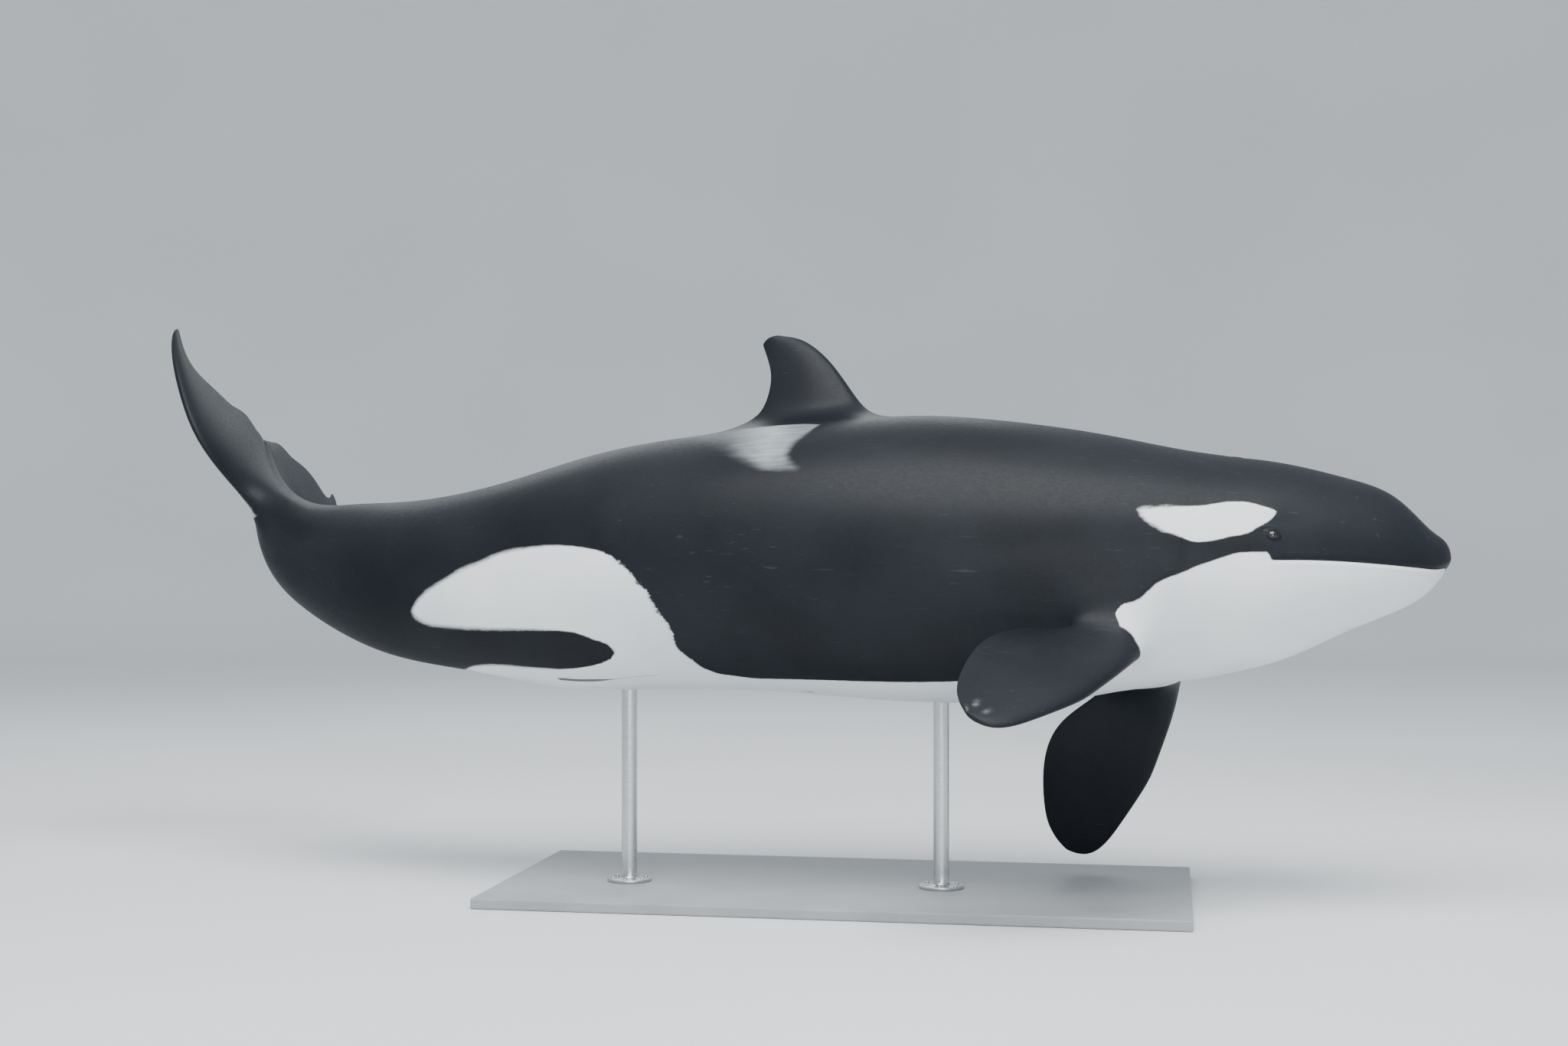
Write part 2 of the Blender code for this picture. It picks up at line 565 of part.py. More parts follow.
for name, p in (("stand_rod_front", rods[0]), ("stand_rod_rear", rods[1])):
    foot = BASE_SIZE[2] + 0.0003
    top = p[2] + ROD_DEPTH
    mesh = bpy.data.meshes.new(name)
    outline = [(0, foot), (FLANGE[0], foot), (FLANGE[0], foot + FLANGE[1] - 0.002), (FLANGE[0] - 0.002, foot + FLANGE[1]),
               (ROD_RADIUS + 0.004, foot + FLANGE[1]), (ROD_RADIUS, foot + FLANGE[1] + 0.004), (ROD_RADIUS, top), (0, top)]
    mesh.from_pydata([(x, 0, z) for x, z in outline], [(k, k + 1) for k in range(len(outline) - 1)], [])
    made = bpy.data.objects.new(name, mesh)
    PARTS.objects.link(made)
    mesh.materials.append(material(name, (0.60, 0.61, 0.62), 0.28, 1.0))
    made.location = (p[0], p[1], 0)
    turn = made.modifiers.new("turn", "SCREW")
    turn.steps = turn.render_steps = 28
    turn.use_merge_vertices = True
    turn.merge_threshold = 0.00005
    turn.use_normal_calculate = True
    turn.use_normal_flip = False
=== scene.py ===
"""Visual model of a life-size still orca on a display stand, with the studio that it is shown in."""

import math

import bpy
import numpy as np
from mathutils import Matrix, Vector


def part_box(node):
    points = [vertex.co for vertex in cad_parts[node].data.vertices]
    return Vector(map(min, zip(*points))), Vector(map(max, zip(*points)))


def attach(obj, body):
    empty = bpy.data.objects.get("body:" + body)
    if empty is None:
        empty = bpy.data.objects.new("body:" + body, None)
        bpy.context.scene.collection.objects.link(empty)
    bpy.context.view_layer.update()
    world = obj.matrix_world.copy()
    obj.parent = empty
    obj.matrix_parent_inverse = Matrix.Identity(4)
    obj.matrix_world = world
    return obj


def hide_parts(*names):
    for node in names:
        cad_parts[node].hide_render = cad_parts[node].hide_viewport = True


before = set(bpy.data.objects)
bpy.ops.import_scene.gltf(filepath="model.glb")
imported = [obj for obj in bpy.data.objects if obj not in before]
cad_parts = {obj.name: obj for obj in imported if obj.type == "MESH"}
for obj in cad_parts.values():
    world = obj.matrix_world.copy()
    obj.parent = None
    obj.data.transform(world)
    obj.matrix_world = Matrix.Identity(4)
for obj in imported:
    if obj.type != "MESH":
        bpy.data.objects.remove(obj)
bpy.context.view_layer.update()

# ------------------------------------------------------------------ the animal's sizes, in metres
LENGTH = 5.44            # snout to fluke notch, along the back's bend
BANK = 15.0              # the right side is rolled up by this many degrees at mid-body
REF = 1.776              # reference station, from the snout
REF_PLACE = (0.45, -0.05, 1.285)  # body axis there, from the middle of the stand's underside

# Bends of the backbone at stations from the snout: upward flex of the tail,
# swing of the tail to the left, and extra roll of the right side, in degrees.
BEND = np.array([
    [0.00, 0.0, 0.0, 0.0],
    [1.00, 0.0, 0.0, 0.0],
    [2.00, 0.0, 0.0, 0.0],
    [3.00, 0.0, 3.0, 3.0],
    [3.60, 0.0, 9.0, 8.0],
    [4.20, 9.0, 16.0, 12.0],
    [4.60, 29.0, 21.0, 14.0],
    [4.90, 50.0, 23.0, 15.0],
    [5.20, 64.0, 24.0, 15.0],
    [5.44, 68.0, 24.0, 15.0],
])

# Girth of the body at stations from the snout: back and belly from the axis,
# half width, height of the widest line, and how full the upper and lower
# quarters are (1 an ellipse, more a keel, less a box).
GIRTH = np.array([
    [0.000, 0.000, 0.000, 0.000, -0.020, 1.00, 1.00],
    [0.020, 0.060, 0.045, 0.066, -0.020, 0.95, 0.95],
    [0.080, 0.108, 0.122, 0.132, -0.030, 0.92, 0.95],
    [0.200, 0.226, 0.195, 0.203, -0.040, 0.92, 0.95],
    [0.380, 0.298, 0.272, 0.266, -0.045, 0.95, 0.95],
    [0.620, 0.354, 0.381, 0.328, -0.045, 0.97, 0.95],
    [0.900, 0.391, 0.450, 0.382, -0.045, 0.98, 0.95],
    [1.250, 0.459, 0.522, 0.438, -0.040, 1.00, 0.95],
    [1.650, 0.521, 0.548, 0.470, -0.030, 1.00, 0.95],
    [2.050, 0.537, 0.542, 0.475, -0.010, 1.00, 0.95],
    [2.450, 0.508, 0.521, 0.450, 0.000, 1.02, 0.98],
    [2.850, 0.467, 0.514, 0.402, -0.010, 1.05, 1.00],
    [3.250, 0.404, 0.520, 0.335, -0.030, 1.10, 1.05],
    [3.650, 0.318, 0.458, 0.258, -0.040, 1.18, 1.15],
    [4.050, 0.282, 0.373, 0.185, -0.030, 1.28, 1.28],
    [4.400, 0.258, 0.248, 0.130, -0.010, 1.35, 1.35],
    [4.700, 0.190, 0.158, 0.098, 0.000, 1.35, 1.35],
    [4.950, 0.120, 0.092, 0.082, 0.000, 1.25, 1.25],
    [5.200, 0.058, 0.048, 0.068, 0.000, 1.10, 1.10],
    [5.440, 0.018, 0.018, 0.036, 0.000, 1.00, 1.00],
])

# Outlines of the fins, root to tip: leading edge, then trailing edge.
# Dorsal fin: (station, height above the axis).
DORSAL_EDGE = [(2.120, 0.535), (2.195, 0.628), (2.257, 0.715), (2.318, 0.792), (2.385, 0.852), (2.455, 0.886), (2.545, 0.899)]
DORSAL_BACK = [(2.735, 0.490), (2.612, 0.548), (2.562, 0.612), (2.545, 0.680), (2.546, 0.748), (2.566, 0.815), (2.586, 0.868)]
# Pectoral fins: (distance from the root, distance ahead of the fin's middle line).
PECTORAL_EDGE = [(-0.030, 0.122), (0.065, 0.131), (0.180, 0.136), (0.310, 0.138), (0.440, 0.142), (0.560, 0.128), (0.680, 0.106), (0.780, 0.080), (0.842, 0.036), (0.860, -0.030)]
PECTORAL_BACK = [(0.095, -0.112), (0.148, -0.136), (0.210, -0.172), (0.280, -0.216), (0.360, -0.254), (0.450, -0.272), (0.560, -0.257), (0.680, -0.212), (0.785, -0.150), (0.853, -0.066)]
# Where each one leaves the body (station, to the left, up), its way out and its
# leading edge's way, each as forward, left and up.
PECTORAL_RIGHT = ((1.150, -0.323, -0.346), (-0.55, -0.66, -0.51), (0.79, -0.24, -0.56))
PECTORAL_LEFT = ((1.040, 0.338, -0.323), (-0.37, 0.45, -0.81), (0.93, 0.22, -0.31))
# How the two lobes are carried, right then left: their tips' curve down, per
# distance out squared, how far the lobe is swung ahead, per distance out, how
# far its outer part is tucked ahead, per distance beyond FLUKE_BEND squared, and
# how far the middle of its trailing edge bulges aft.
FLUKE_CURL = (0.0, 0.15)
FLUKE_SWING = (0.0, 0.12)
FLUKE_TUCK = (0.0, 2.0)
FLUKE_BEND = 0.35
FLUKE_BULGE = (0.0, 0.056)
# Fluke lobes: (distance from the middle line, distance aft of the notch).
FLUKE_EDGE = [(0.030, -0.555), (0.100, -0.512), (0.210, -0.482), (0.330, -0.437), (0.450, -0.350), (0.530, -0.200), (0.575, -0.040), (0.588, 0.080), (0.582, 0.170), (0.560, 0.228)]
FLUKE_BACK = [(0.030, 0.020), (0.075, 0.056), (0.125, 0.062), (0.195, 0.032), (0.290, 0.036), (0.390, 0.045), (0.460, 0.066), (0.505, 0.115), (0.530, 0.175), (0.547, 0.231)]


def curve(xs, ys):
    """Natural cubic curve through points, straight beyond its ends."""
    x = np.asarray(xs, float)
    y = np.asarray(ys, float)
    n = len(x)
    h = np.diff(x)
    a = np.eye(n)
    r = np.zeros(n)
    for i in range(1, n - 1):
        a[i, i - 1], a[i, i], a[i, i + 1] = h[i - 1], 2 * (h[i - 1] + h[i]), h[i]
        r[i] = 6 * ((y[i + 1] - y[i]) / h[i] - (y[i] - y[i - 1]) / h[i - 1])
    m = np.linalg.solve(a, r)
    first = (y[1] - y[0]) / h[0] - h[0] * (2 * m[0] + m[1]) / 6
    last = (y[-1] - y[-2]) / h[-1] + h[-1] * (m[-2] + 2 * m[-1]) / 6

    def at(t):
        t = np.asarray(t, float)
        i = np.clip(np.searchsorted(x, t) - 1, 0, n - 2)
        p, q, w = x[i + 1] - t, t - x[i], h[i]
        v = (m[i] * p**3 + m[i + 1] * q**3) / (6 * w)
        v = v + (y[i] / w - m[i] * w / 6) * p + (y[i + 1] / w - m[i + 1] * w / 6) * q
        v = np.where(t < x[0], y[0] + first * (t - x[0]), v)
        return np.where(t > x[-1], y[-1] + last * (t - x[-1]), v)

    return at


def edge(points):
    """Smooth edge through 2-D points, from 0 at the first to 1 at the last."""
    points = np.asarray(points, float)
    u = np.linspace(0, 1, len(points))
    fx, fy = curve(u, points[:, 0]), curve(u, points[:, 1])
    return lambda t: np.stack([fx(t), fy(t)], -1)


def unit(v):
    return v / np.linalg.norm(v, axis=-1, keepdims=True)


class Spine:
    """The bent middle line, with the body's forward, left and up directions along it."""

    def __init__(self):
        count = 1201
        self.s = np.linspace(-0.05, LENGTH + 0.3, count)
        bend = np.radians(np.stack([curve(BEND[:, 0], BEND[:, k])(self.s) for k in (1, 2, 3)], 1))
        ref = int(np.argmin(abs(self.s - REF)))
        c, d = np.cos(np.radians(BANK)), np.sin(np.radians(BANK))
        axes = np.zeros((count, 3, 3))
        axes[ref] = np.array([[1, 0, 0], [0, c, d], [0, -d, c]])
        for i in range(ref, count - 1):
            axes[i + 1] = self.turned(axes[i], bend[i + 1] - bend[i])
        for i in range(ref, 0, -1):
            axes[i - 1] = self.turned(axes[i], bend[i - 1] - bend[i])
        forward = axes[:, :, 0]
        step = self.s[1] - self.s[0]
        place = np.zeros((count, 3))
        place[1:] = -np.cumsum((forward[1:] + forward[:-1]) / 2 * step, axis=0)
        self.place = place - place[ref] + np.array(REF_PLACE)
        self.axes = axes

    @staticmethod
    def turned(axes, by):
        flex, swing, roll = by
        f, l, u = axes[:, 0], axes[:, 1], axes[:, 2]
        f2 = unit(f - flex * u - swing * l)
        u2 = u + flex * f + roll * l
        u2 = unit(u2 - f2 * (u2 @ f2))
        return np.stack([f2, np.cross(u2, f2), u2], 1)

    def at(self, s):
        s = np.asarray(s, float)
        pick = lambda a: np.stack([np.interp(s, self.s, a[:, k]) for k in range(3)], -1)
        return (pick(self.place), unit(pick(self.axes[:, :, 0])), unit(pick(self.axes[:, :, 1])), unit(pick(self.axes[:, :, 2])))


SPINE = Spine()
GIRTH_AT = [curve(np.sqrt(GIRTH[:, 0]), GIRTH[:, k]) for k in range(1, 7)]


def section(s, phi):
    """Left and up offsets of the skin at a station. phi is 0 at the back, pi/2 on the left, pi at the belly."""
    q = np.sqrt(np.maximum(s, 0))
    back, belly, wide, mid, upper, lower = [f(q) for f in GIRTH_AT]
    c, d = np.cos(phi), np.sin(phi)
    full = np.where(c >= 0, upper, lower)
    y = wide * np.sign(d) * np.abs(d) ** full
    z = mid + np.where(c >= 0, back - mid, belly + mid) * c
    return y, z


def skin_point(s, phi):
    s, phi = np.broadcast_arrays(np.asarray(s, float), np.asarray(phi, float))
    y, z = section(s, phi)
    place, f, l, u = SPINE.at(s)
    return place + l * y[..., None] + u * z[..., None]


def local(s, forward=0.0, left=0.0, up=0.0):
    """World point at offsets from the axis at a station."""
    place, f, l, u = SPINE.at(s)
    return place + f * forward + l * left + u * up


class Fin:
    """A blade between a leading and a trailing edge, with a streamlined section."""

    def __init__(self, lead, trail, origin, along, ahead, thick, curl=0.0, first=0.0):
        self.lead, self.trail = edge(lead), edge(trail)
        self.origin, self.along = origin, unit(along)
        self.ahead = unit(ahead - self.along * (ahead @ self.along))
        self.flat = np.cross(self.along, self.ahead)
        self.thick = curve([k[0] for k in thick], [k[1] for k in thick])
        self.curl, self.first = curl, first

    def loop(self, u, half):
        """Points of the section at u: leading edge, one face, trailing edge, other face."""
        m = np.arange(2 * half)
        k = np.where(m <= half, m, 2 * half - m) / half
        side = np.where(m <= half, 1.0, -1.0)
        t = (1 - np.cos(np.pi * k)) / 2
        shape = 2.969 * np.sqrt(t) - 1.260 * t - 3.516 * t**2 + 2.843 * t**3 - 1.036 * t**4
        a, b = self.lead(u), self.trail(u)
        p = a + (b - a) * t[:, None]
        lift = self.curl * p[:, 0] ** 2
        return (self.origin + self.along * p[:, :1] + self.ahead * p[:, 1:]
                + self.flat * (side * shape * float(self.thick(u)) + lift)[:, None])


# ------------------------------------------------------------------ the skin's grid
COLUMNS = 192
# Stretches along the body: where each ends, and the distance between its rows.
STRETCHES = [(0.06, 0.005), (0.60, 0.008), (0.735, 0.0096), (0.80, 0.005), (0.98, 0.0095), (1.30, 0.0106), (2.10, 0.0265),
             (2.76, 0.0165), (3.60, 0.024), (4.86, 0.0185), (5.40, 0.0135), (5.44, 0.010)]
# Holes where the fins grow: station range, turns of its two sides, turn of the leading edge.
HOLES = {
    "dorsal_fin": (2.10, 2.76, -1 / 32, 1 / 32, 0.0),
    "pectoral_fin_left": (0.98, 1.23, 10 / 32, 14 / 32, 12 / 32),
    "pectoral_fin_right": (1.06, 1.30, 18 / 32, 22 / 32, 20 / 32),
    "fluke_left": (4.86, 5.40, 4 / 32, 12 / 32, 8 / 32),
    "fluke_right": (4.86, 5.40, 20 / 32, 28 / 32, 24 / 32),
}
FIN_ROOT = {"dorsal_fin": 0.10, "pectoral_fin_left": 0.09, "pectoral_fin_right": 0.09, "fluke_left": 0.12, "fluke_right": 0.12}
FIN_STEPS = {"dorsal_fin": (5, 34), "pectoral_fin_left": (7, 46), "pectoral_fin_right": (7, 46), "fluke_left": (6, 36), "fluke_right": (6, 36)}
SHOULDER = (1.11, 135.0)

# ------------------------------------------------------------------ the mouth, the eyes and the blowhole
MOUTH = [(-0.060, -0.006), (0.020, -0.044), (0.050, -0.061), (0.107, -0.073), (0.280, -0.078), (0.500, -0.082), (0.640, -0.090), (0.900, -0.104)]
MOUTH_END = 0.655
EYE = (0.645, 0.000)
EYE_RADIUS = 0.024
EYE_SINK = 0.0155
EYE_BLOCK = (0.570, 0.722, 72.5, 94.0)     # stations and turns, in degrees, of the patch of rings round an eye
EYE_OPENING = (0.0172, 0.0108)
BLOWHOLE = (0.770, 0.034, 0.012)   # station of its middle, half width, and how far its ends lie ahead of its middle


# Close to the snout's tip the widest line stays above the belly, so that the tip is round.
BELLY_LINE, WIDE_LINE = GIRTH_AT[1], GIRTH_AT[3]
GIRTH_AT[3] = lambda q: np.maximum(WIDE_LINE(q), -0.6 * BELLY_LINE(q))


def bell(x, width):
    return np.exp(-((x / width) ** 2))


def ease(x):
    x = np.clip(x, 0, 1)
    return x * x * (3 - 2 * x)


def mouth_turn(s):
    """Turn of the mouth line at a station, from the back."""
    back, belly, wide, mid, upper, lower = [f(np.sqrt(s)) for f in GIRTH_AT]
    height = curve([p[0] for p in MOUTH], [p[1] for p in MOUTH])(s)
    return np.arccos(np.clip((height - mid) / (belly + mid), -1, 0))


def columns(s):
    """Turn of each column at a station. Columns crowd round the pectoral fins, along the mouth and at the blowhole."""
    turn = 2 * np.pi * np.arange(COLUMNS) / COLUMNS
    turn, s = np.broadcast_arrays(turn[None, :], np.asarray(s, float)[:, None])
    side = np.where(turn <= np.pi, 1.0, -1.0)
    half = np.where(turn <= np.pi, turn, 2 * np.pi - turn)    # 0 at the back, pi at the belly
    d = half - np.radians(SHOULDER[1])
    near = 0.45 * bell(s - SHOULDER[0], 0.45)
    warped = half - near * d * bell(d, np.radians(35))
    k = 52                                                    # the column that follows the mouth
    own = warped[:, k:k + 1]
    d = half - half[:, k:k + 1]
    held = ease((s - 0.05) / 0.07) * (1 - ease((s - 0.68) / 0.16))
    line = mouth_turn(s)
    warped = warped + held * (line - own) * bell(d, np.radians(30))
    warped = warped - 0.60 * held * d * bell(d, np.radians(6.5))
    warped = warped - 0.50 * bell(s - BLOWHOLE[0], 0.12) * half * bell(half, np.radians(10))
    return np.where(side > 0, warped, 2 * np.pi - warped)


def lean(s, turn):
    """How far the grid leans back at the root of the right pectoral fin, whose upper side starts further back."""
    d = np.degrees(2 * np.pi - turn) - SHOULDER[1]
    return (0.022 - 0.0045 * d) * bell(s - 1.18, 0.20) * bell(d, 26.0)


def eye_at(side):
    """Point of the skin over an eye, its station and turn, and the way out there."""
    turn = np.radians(np.linspace(40, 140, 2001))
    turn = turn if side > 0 else 2 * np.pi - turn
    turn = turn[int(np.argmin(abs(section(EYE[0], turn)[1] - EYE[1])))]
    step = 1e-3
    out = np.cross(skin_point(EYE[0] + step, turn) - skin_point(EYE[0] - step, turn),
                   skin_point(EYE[0], turn + step) - skin_point(EYE[0], turn - step))
    at = skin_point(EYE[0], turn)
    out = unit(out) * np.sign(out @ (at - SPINE.at(EYE[0])[0]))
    return at, turn, out


def fins():
    """The blades, by name."""
    place, f, l, u = SPINE.at(2.4)
    blades = {"dorsal_fin": Fin([(z, -s) for s, z in DORSAL_EDGE], [(z, -s) for s, z in DORSAL_BACK],
                                place + f * 2.4, u, f, [(0, 0.056), (0.3, 0.040), (0.7, 0.024), (1, 0.010)])}
    for name, (root, out, front) in (("pectoral_fin_right", PECTORAL_RIGHT), ("pectoral_fin_left", PECTORAL_LEFT)):
        axes = np.stack(SPINE.at(root[0])[1:])
        blades[name] = Fin(PECTORAL_EDGE, PECTORAL_BACK, local(root[0], 0, root[1], root[2]), np.array(out) @ axes, np.array(front) @ axes,
                           [(0, 0.056), (0.25, 0.042), (0.6, 0.027), (1, 0.009)])
    place, f, l, u = SPINE.at(LENGTH - 0.12)
    notch = SPINE.at(LENGTH)[0]
    for k, (name, side) in enumerate((("fluke_right", -1), ("fluke_left", 1))):
        lead, trail = [[(a, c - FLUKE_SWING[k] * a - FLUKE_TUCK[k] * max(a - FLUKE_BEND, 0) ** 2) for a, c in line] for line in (FLUKE_EDGE, FLUKE_BACK)]
        trail = [(a, c + FLUKE_BULGE[k] * np.exp(-(((a - 0.34) / 0.17) ** 2))) for a, c in trail]
        blades[name] = Fin(lead, trail, notch, l * side, -f,
                           [(0, 0.048), (0.2, 0.038), (0.5, 0.026), (0.8, 0.015), (1, 0.006)], -FLUKE_CURL[k] * side)
    return blades


def grid_rows():
    rows = [0.0004, 0.0014, 0.0032, 0.006]
    for end, pitch in STRETCHES:
        count = max(1, int(round((end - rows[-1]) / pitch)))
        rows += list(np.linspace(rows[-1], end, count + 1)[1:])
    return np.array(rows)


class Skin:
    """The whole skin as one closed mesh, with each point's station, turn, fin and place on it."""

    def __init__(self):
        self.rows = rows = grid_rows()
        turns = columns(rows)
        stations = rows[:, None] + lean(rows[:, None], turns)
        self.points = list(skin_point(stations, turns).reshape(-1, 3))
        self.s = list(stations.reshape(-1))
        self.turn = list(turns.reshape(-1))
        self.fin = [0] * len(self.points)          # 0 the body, else 1 + the fin's number
        self.out = [0.0] * len(self.points)        # how far along the fin
        self.chord = [0.0] * len(self.points)      # 0 at its leading edge, 1 at its trailing edge
        self.face = [0.0] * len(self.points)       # which face of the fin
        self.ring = list(range(len(self.points)))  # the body point that a fin's point grows from
        self.faces, self.maps = [], []
        self.grow()
        for name in ("points", "s", "turn", "fin", "out", "chord", "face", "ring"):
            setattr(self, name, np.array(getattr(self, name)))
        self.draw_smooth()

    def add(self, points, s=0.0, turn=0.0, fin=0, out=0.0, chord=0.0, face=0.0, ring=None):
        count = len(points)
        spread = lambda v: list(np.broadcast_to(np.asarray(v, float), count))
        first = len(self.points)
        self.points += list(points)
        self.s += spread(s)
        self.turn += spread(turn)
        self.fin += [fin] * count
        self.out += spread(out)
        self.chord += spread(chord)
        self.face += spread(face)
        self.ring += list(range(first, first + count)) if ring is None else list(ring)
        return list(range(first, first + count))

    def block(self, s0, s1, j0, j1):
        rows = self.rows
        i0, i1 = int(np.argmin(abs(rows - s0))), int(np.argmin(abs(rows - s1)))
        self.cut |= {(i, j % COLUMNS) for i in range(i0, i1) for j in range(j0, j1)}
        ring = [(i0, j) for j in range(j0, j1)] + [(i, j1) for i in range(i0, i1)]
        return ring + [(i1, j) for j in range(j1, j0, -1)] + [(i, j0) for i in range(i1, i0, -1)], i0

    def grow(self):
        rows, at = self.rows, lambda i, j: i * COLUMNS + j % COLUMNS
        self.cut = set()
        self.loops, self.eyes = {}, {}
        for name, (s0, s1, t0, t1, front) in HOLES.items():
            ring, i0 = self.block(s0, s1, int(round(t0 * COLUMNS)), int(round(t1 * COLUMNS)))
            start = ring.index((i0, int(round(front * COLUMNS))))
            self.loops[name] = [at(i, j) for i, j in ring[start:] + ring[:start]]
        turns = columns(np.array([EYE[0]]))[0]
        j0 = int(np.argmin(abs(turns[:COLUMNS // 2] - np.radians(EYE_BLOCK[2]))))
        j1 = int(np.argmin(abs(turns[:COLUMNS // 2] - np.radians(EYE_BLOCK[3]))))
        for side, (a, b) in ((1, (j0, j1)), (-1, (COLUMNS - j1, COLUMNS - j0))):
            self.eyes[side] = [at(i, j) for i, j in self.block(EYE_BLOCK[0], EYE_BLOCK[1], a, b)[0]]
        for i in range(len(rows) - 1):
            for j in range(COLUMNS):
                if (i, j) not in self.cut:
                    self.faces.append((at(i, j), at(i, j + 1), at(i + 1, j + 1), at(i + 1, j)))
                    u0, u1, v0, v1 = j / COLUMNS, (j + 1) / COLUMNS, rows[i] / LENGTH, rows[i + 1] / LENGTH
                    self.maps.append(("body", ((u0, v0), (u1, v0), (u1, v1), (u0, v1))))
        nose = self.add([skin_point(0.0, 0.0)])[0]
        last = len(rows) - 1
        tail = self.add([local(LENGTH)], LENGTH)[0]
        for j in range(COLUMNS):
            u0, u1 = j / COLUMNS, (j + 1) / COLUMNS
            self.faces.append((nose, at(0, j + 1), at(0, j)))
            self.maps.append(("body", (((u0 + u1) / 2, 0), (u1, rows[0] / LENGTH), (u0, rows[0] / LENGTH))))
            self.faces.append((tail, at(last, j), at(last, j + 1)))
            self.maps.append(("body", (((u0 + u1) / 2, 1.005), (u0, 1), (u1, 1))))
        for number, (name, blade) in enumerate(fins().items()):
            self.grow_fin(number, name, blade)
        for side in (1, -1):
            self.grow_eye(side)

    def grow_fin(self, number, name, blade):
        loop = self.loops[name]
        half = len(loop) // 2
        edge_points = np.array([self.points[k] for k in loop])
        mirrored = (edge_points[1:half] - edge_points[half + 1:][::-1]).mean(0) @ blade.flat < 0
        m = np.arange(2 * half)
        k = np.where(m <= half, m, 2 * half - m) / half
        chord = (1 - np.cos(np.pi * k)) / 2
        face = np.where(m <= half, 1.0, -1.0) * np.where((m == 0) | (m == half), 0, 1)
        blend, steps = FIN_STEPS[name]
        root = FIN_ROOT[name]
        turned = lambda ring: np.concatenate([ring[:1], ring[1:][::-1]]) if mirrored else ring
        first = turned(blade.loop(root, half))
        place = [(j + 1) / (blend + 1) for j in range(blend)]
        rings = [(edge_points * (1 - t) + first * t, root * t) for t in place]
        places = root + (1 - root) * np.sin(np.linspace(0, np.pi / 2, steps + 1))
        for u in places:
            ring = turned(blade.loop(float(u), half))
            centre = (ring[0] + ring[half]) / 2
            # The tip's last stretch closes in a round end.
            close = np.sqrt(max(1 - max(0.0, (u - 0.955) / 0.045) ** 2, 0.015))
            rings.append((centre + (ring - centre) * close, float(u)))
        base = list(loop)
        before, v = list(loop), 0.0
        total = len(rings)
        for r, (ring, u) in enumerate(rings):
            new = self.add(ring, [self.s[q] for q in base], [self.turn[q] for q in base], number + 1, u,
                           turned(chord[:, None])[:, 0], turned(face[:, None])[:, 0], base)
            for q in range(2 * half):
                n = (q + 1) % (2 * half)
                self.faces.append((before[q], before[n], new[n], new[q]))
                u0, u1, v0, v1 = q / (2 * half), (q + 1) / (2 * half), r / total, (r + 1) / total
                self.maps.append((name, ((u0, v0), (u1, v0), (u1, v1), (u0, v1))))
            before = new
        flat = lambda *ks: self.maps.append((name, tuple((0.5 + 0.5 * k, 1.0 + 0.004 * (k != 0)) for k in range(len(ks)))))
        caps = [(before[0], before[1], before[-1])]
        caps += [(before[k], before[k + 1], before[-k - 1], before[-k]) for k in range(1, half - 1)]
        caps += [(before[half - 1], before[half], before[half + 1])]
        for cap in caps:
            self.faces.append(cap)
            flat(*cap)

    def grow_eye(self, side):
        """Rings of skin from the patch's rim to the lids, over the lids' edge and in behind the eyeball."""
        loop = self.eyes[side]
        at, turn, out = eye_at(side)
        step = 1e-4
        by_s = (skin_point(EYE[0] + step, turn) - skin_point(EYE[0] - step, turn)) / (2 * step)
        by_turn = (skin_point(EYE[0], turn + step) - skin_point(EYE[0], turn - step)) / (2 * step)
        front = unit(-by_s)
        up = np.cross(out, front)
        up = unit(up * np.sign(up @ SPINE.at(EYE[0])[3]))
        inward = np.linalg.inv(np.array([[by_s @ front, by_turn @ front], [by_s @ up, by_turn @ up]]))
        rim = np.array([(self.s[k], self.turn[k]) for k in loop])
        offset = np.array([self.points[k] for k in loop]) - at
        flat = np.stack([offset @ front, offset @ up], 1)
        size = abs(flat).max(0)
        angle = np.arctan2(flat[:, 1] / size[1], flat[:, 0] / size[0])
        opening = np.stack([np.cos(angle) * EYE_OPENING[0], np.sin(angle) * EYE_OPENING[1]], 1)
        # The front corner of the eye dips a little and is the sharper one.
        opening[:, 1] -= 0.0022 * (opening[:, 0] / EYE_OPENING[0]) * abs(opening[:, 0] / EYE_OPENING[0])
        inner = np.array([EYE[0], turn]) + opening @ inward.T
        before, rings = list(loop), 15
        own = np.array([[self.s[k] / LENGTH, self.turn[k] / (2 * np.pi)] for k in loop])
        for r in range(1, rings + 1):
            t = 1 - (1 - r / rings) ** 1.6
            here = rim * (1 - t) + inner * t
            new = self.add(skin_point(here[:, 0], here[:, 1]), here[:, 0], here[:, 1])
            self.stitch(before, new, side, r)
            before = new
        self.lids = getattr(self, "lids", {})
        self.lids[side] = (before, opening, at, out, front, up)
        centre = at - out * EYE_SINK
        lid = EYE_RADIUS + 0.0026
        for r, (shrink, height) in enumerate(((0.975, 0.0022), (0.965, 0.0010), (0.985, -0.0006), (1.10, -0.0030), (1.0, -0.0080), (0.5, -0.0140))):
            flat = opening * shrink
            lift = np.sqrt(np.maximum(EYE_RADIUS**2 - (flat**2).sum(1), 1e-8)) + height
            ring = centre + front * flat[:, :1] + up * flat[:, 1:] + out * lift[:, None]
            new = self.add(ring, EYE[0], turn, out=-1.0)
            self.stitch(before, new, side, rings + 1 + r)
            before = new
        middle = self.add([centre + out * (EYE_RADIUS - 0.015)], EYE[0], turn, out=-1.0)[0]
        count = len(before)
        for q in range(count):
            n = (q + 1) % count
            self.faces.append((middle, before[q], before[n]))
            self.maps.append(("eye%d" % side, ((0.5, 1.0), (q / count, 0.98), ((q + 1) / count, 0.98))))

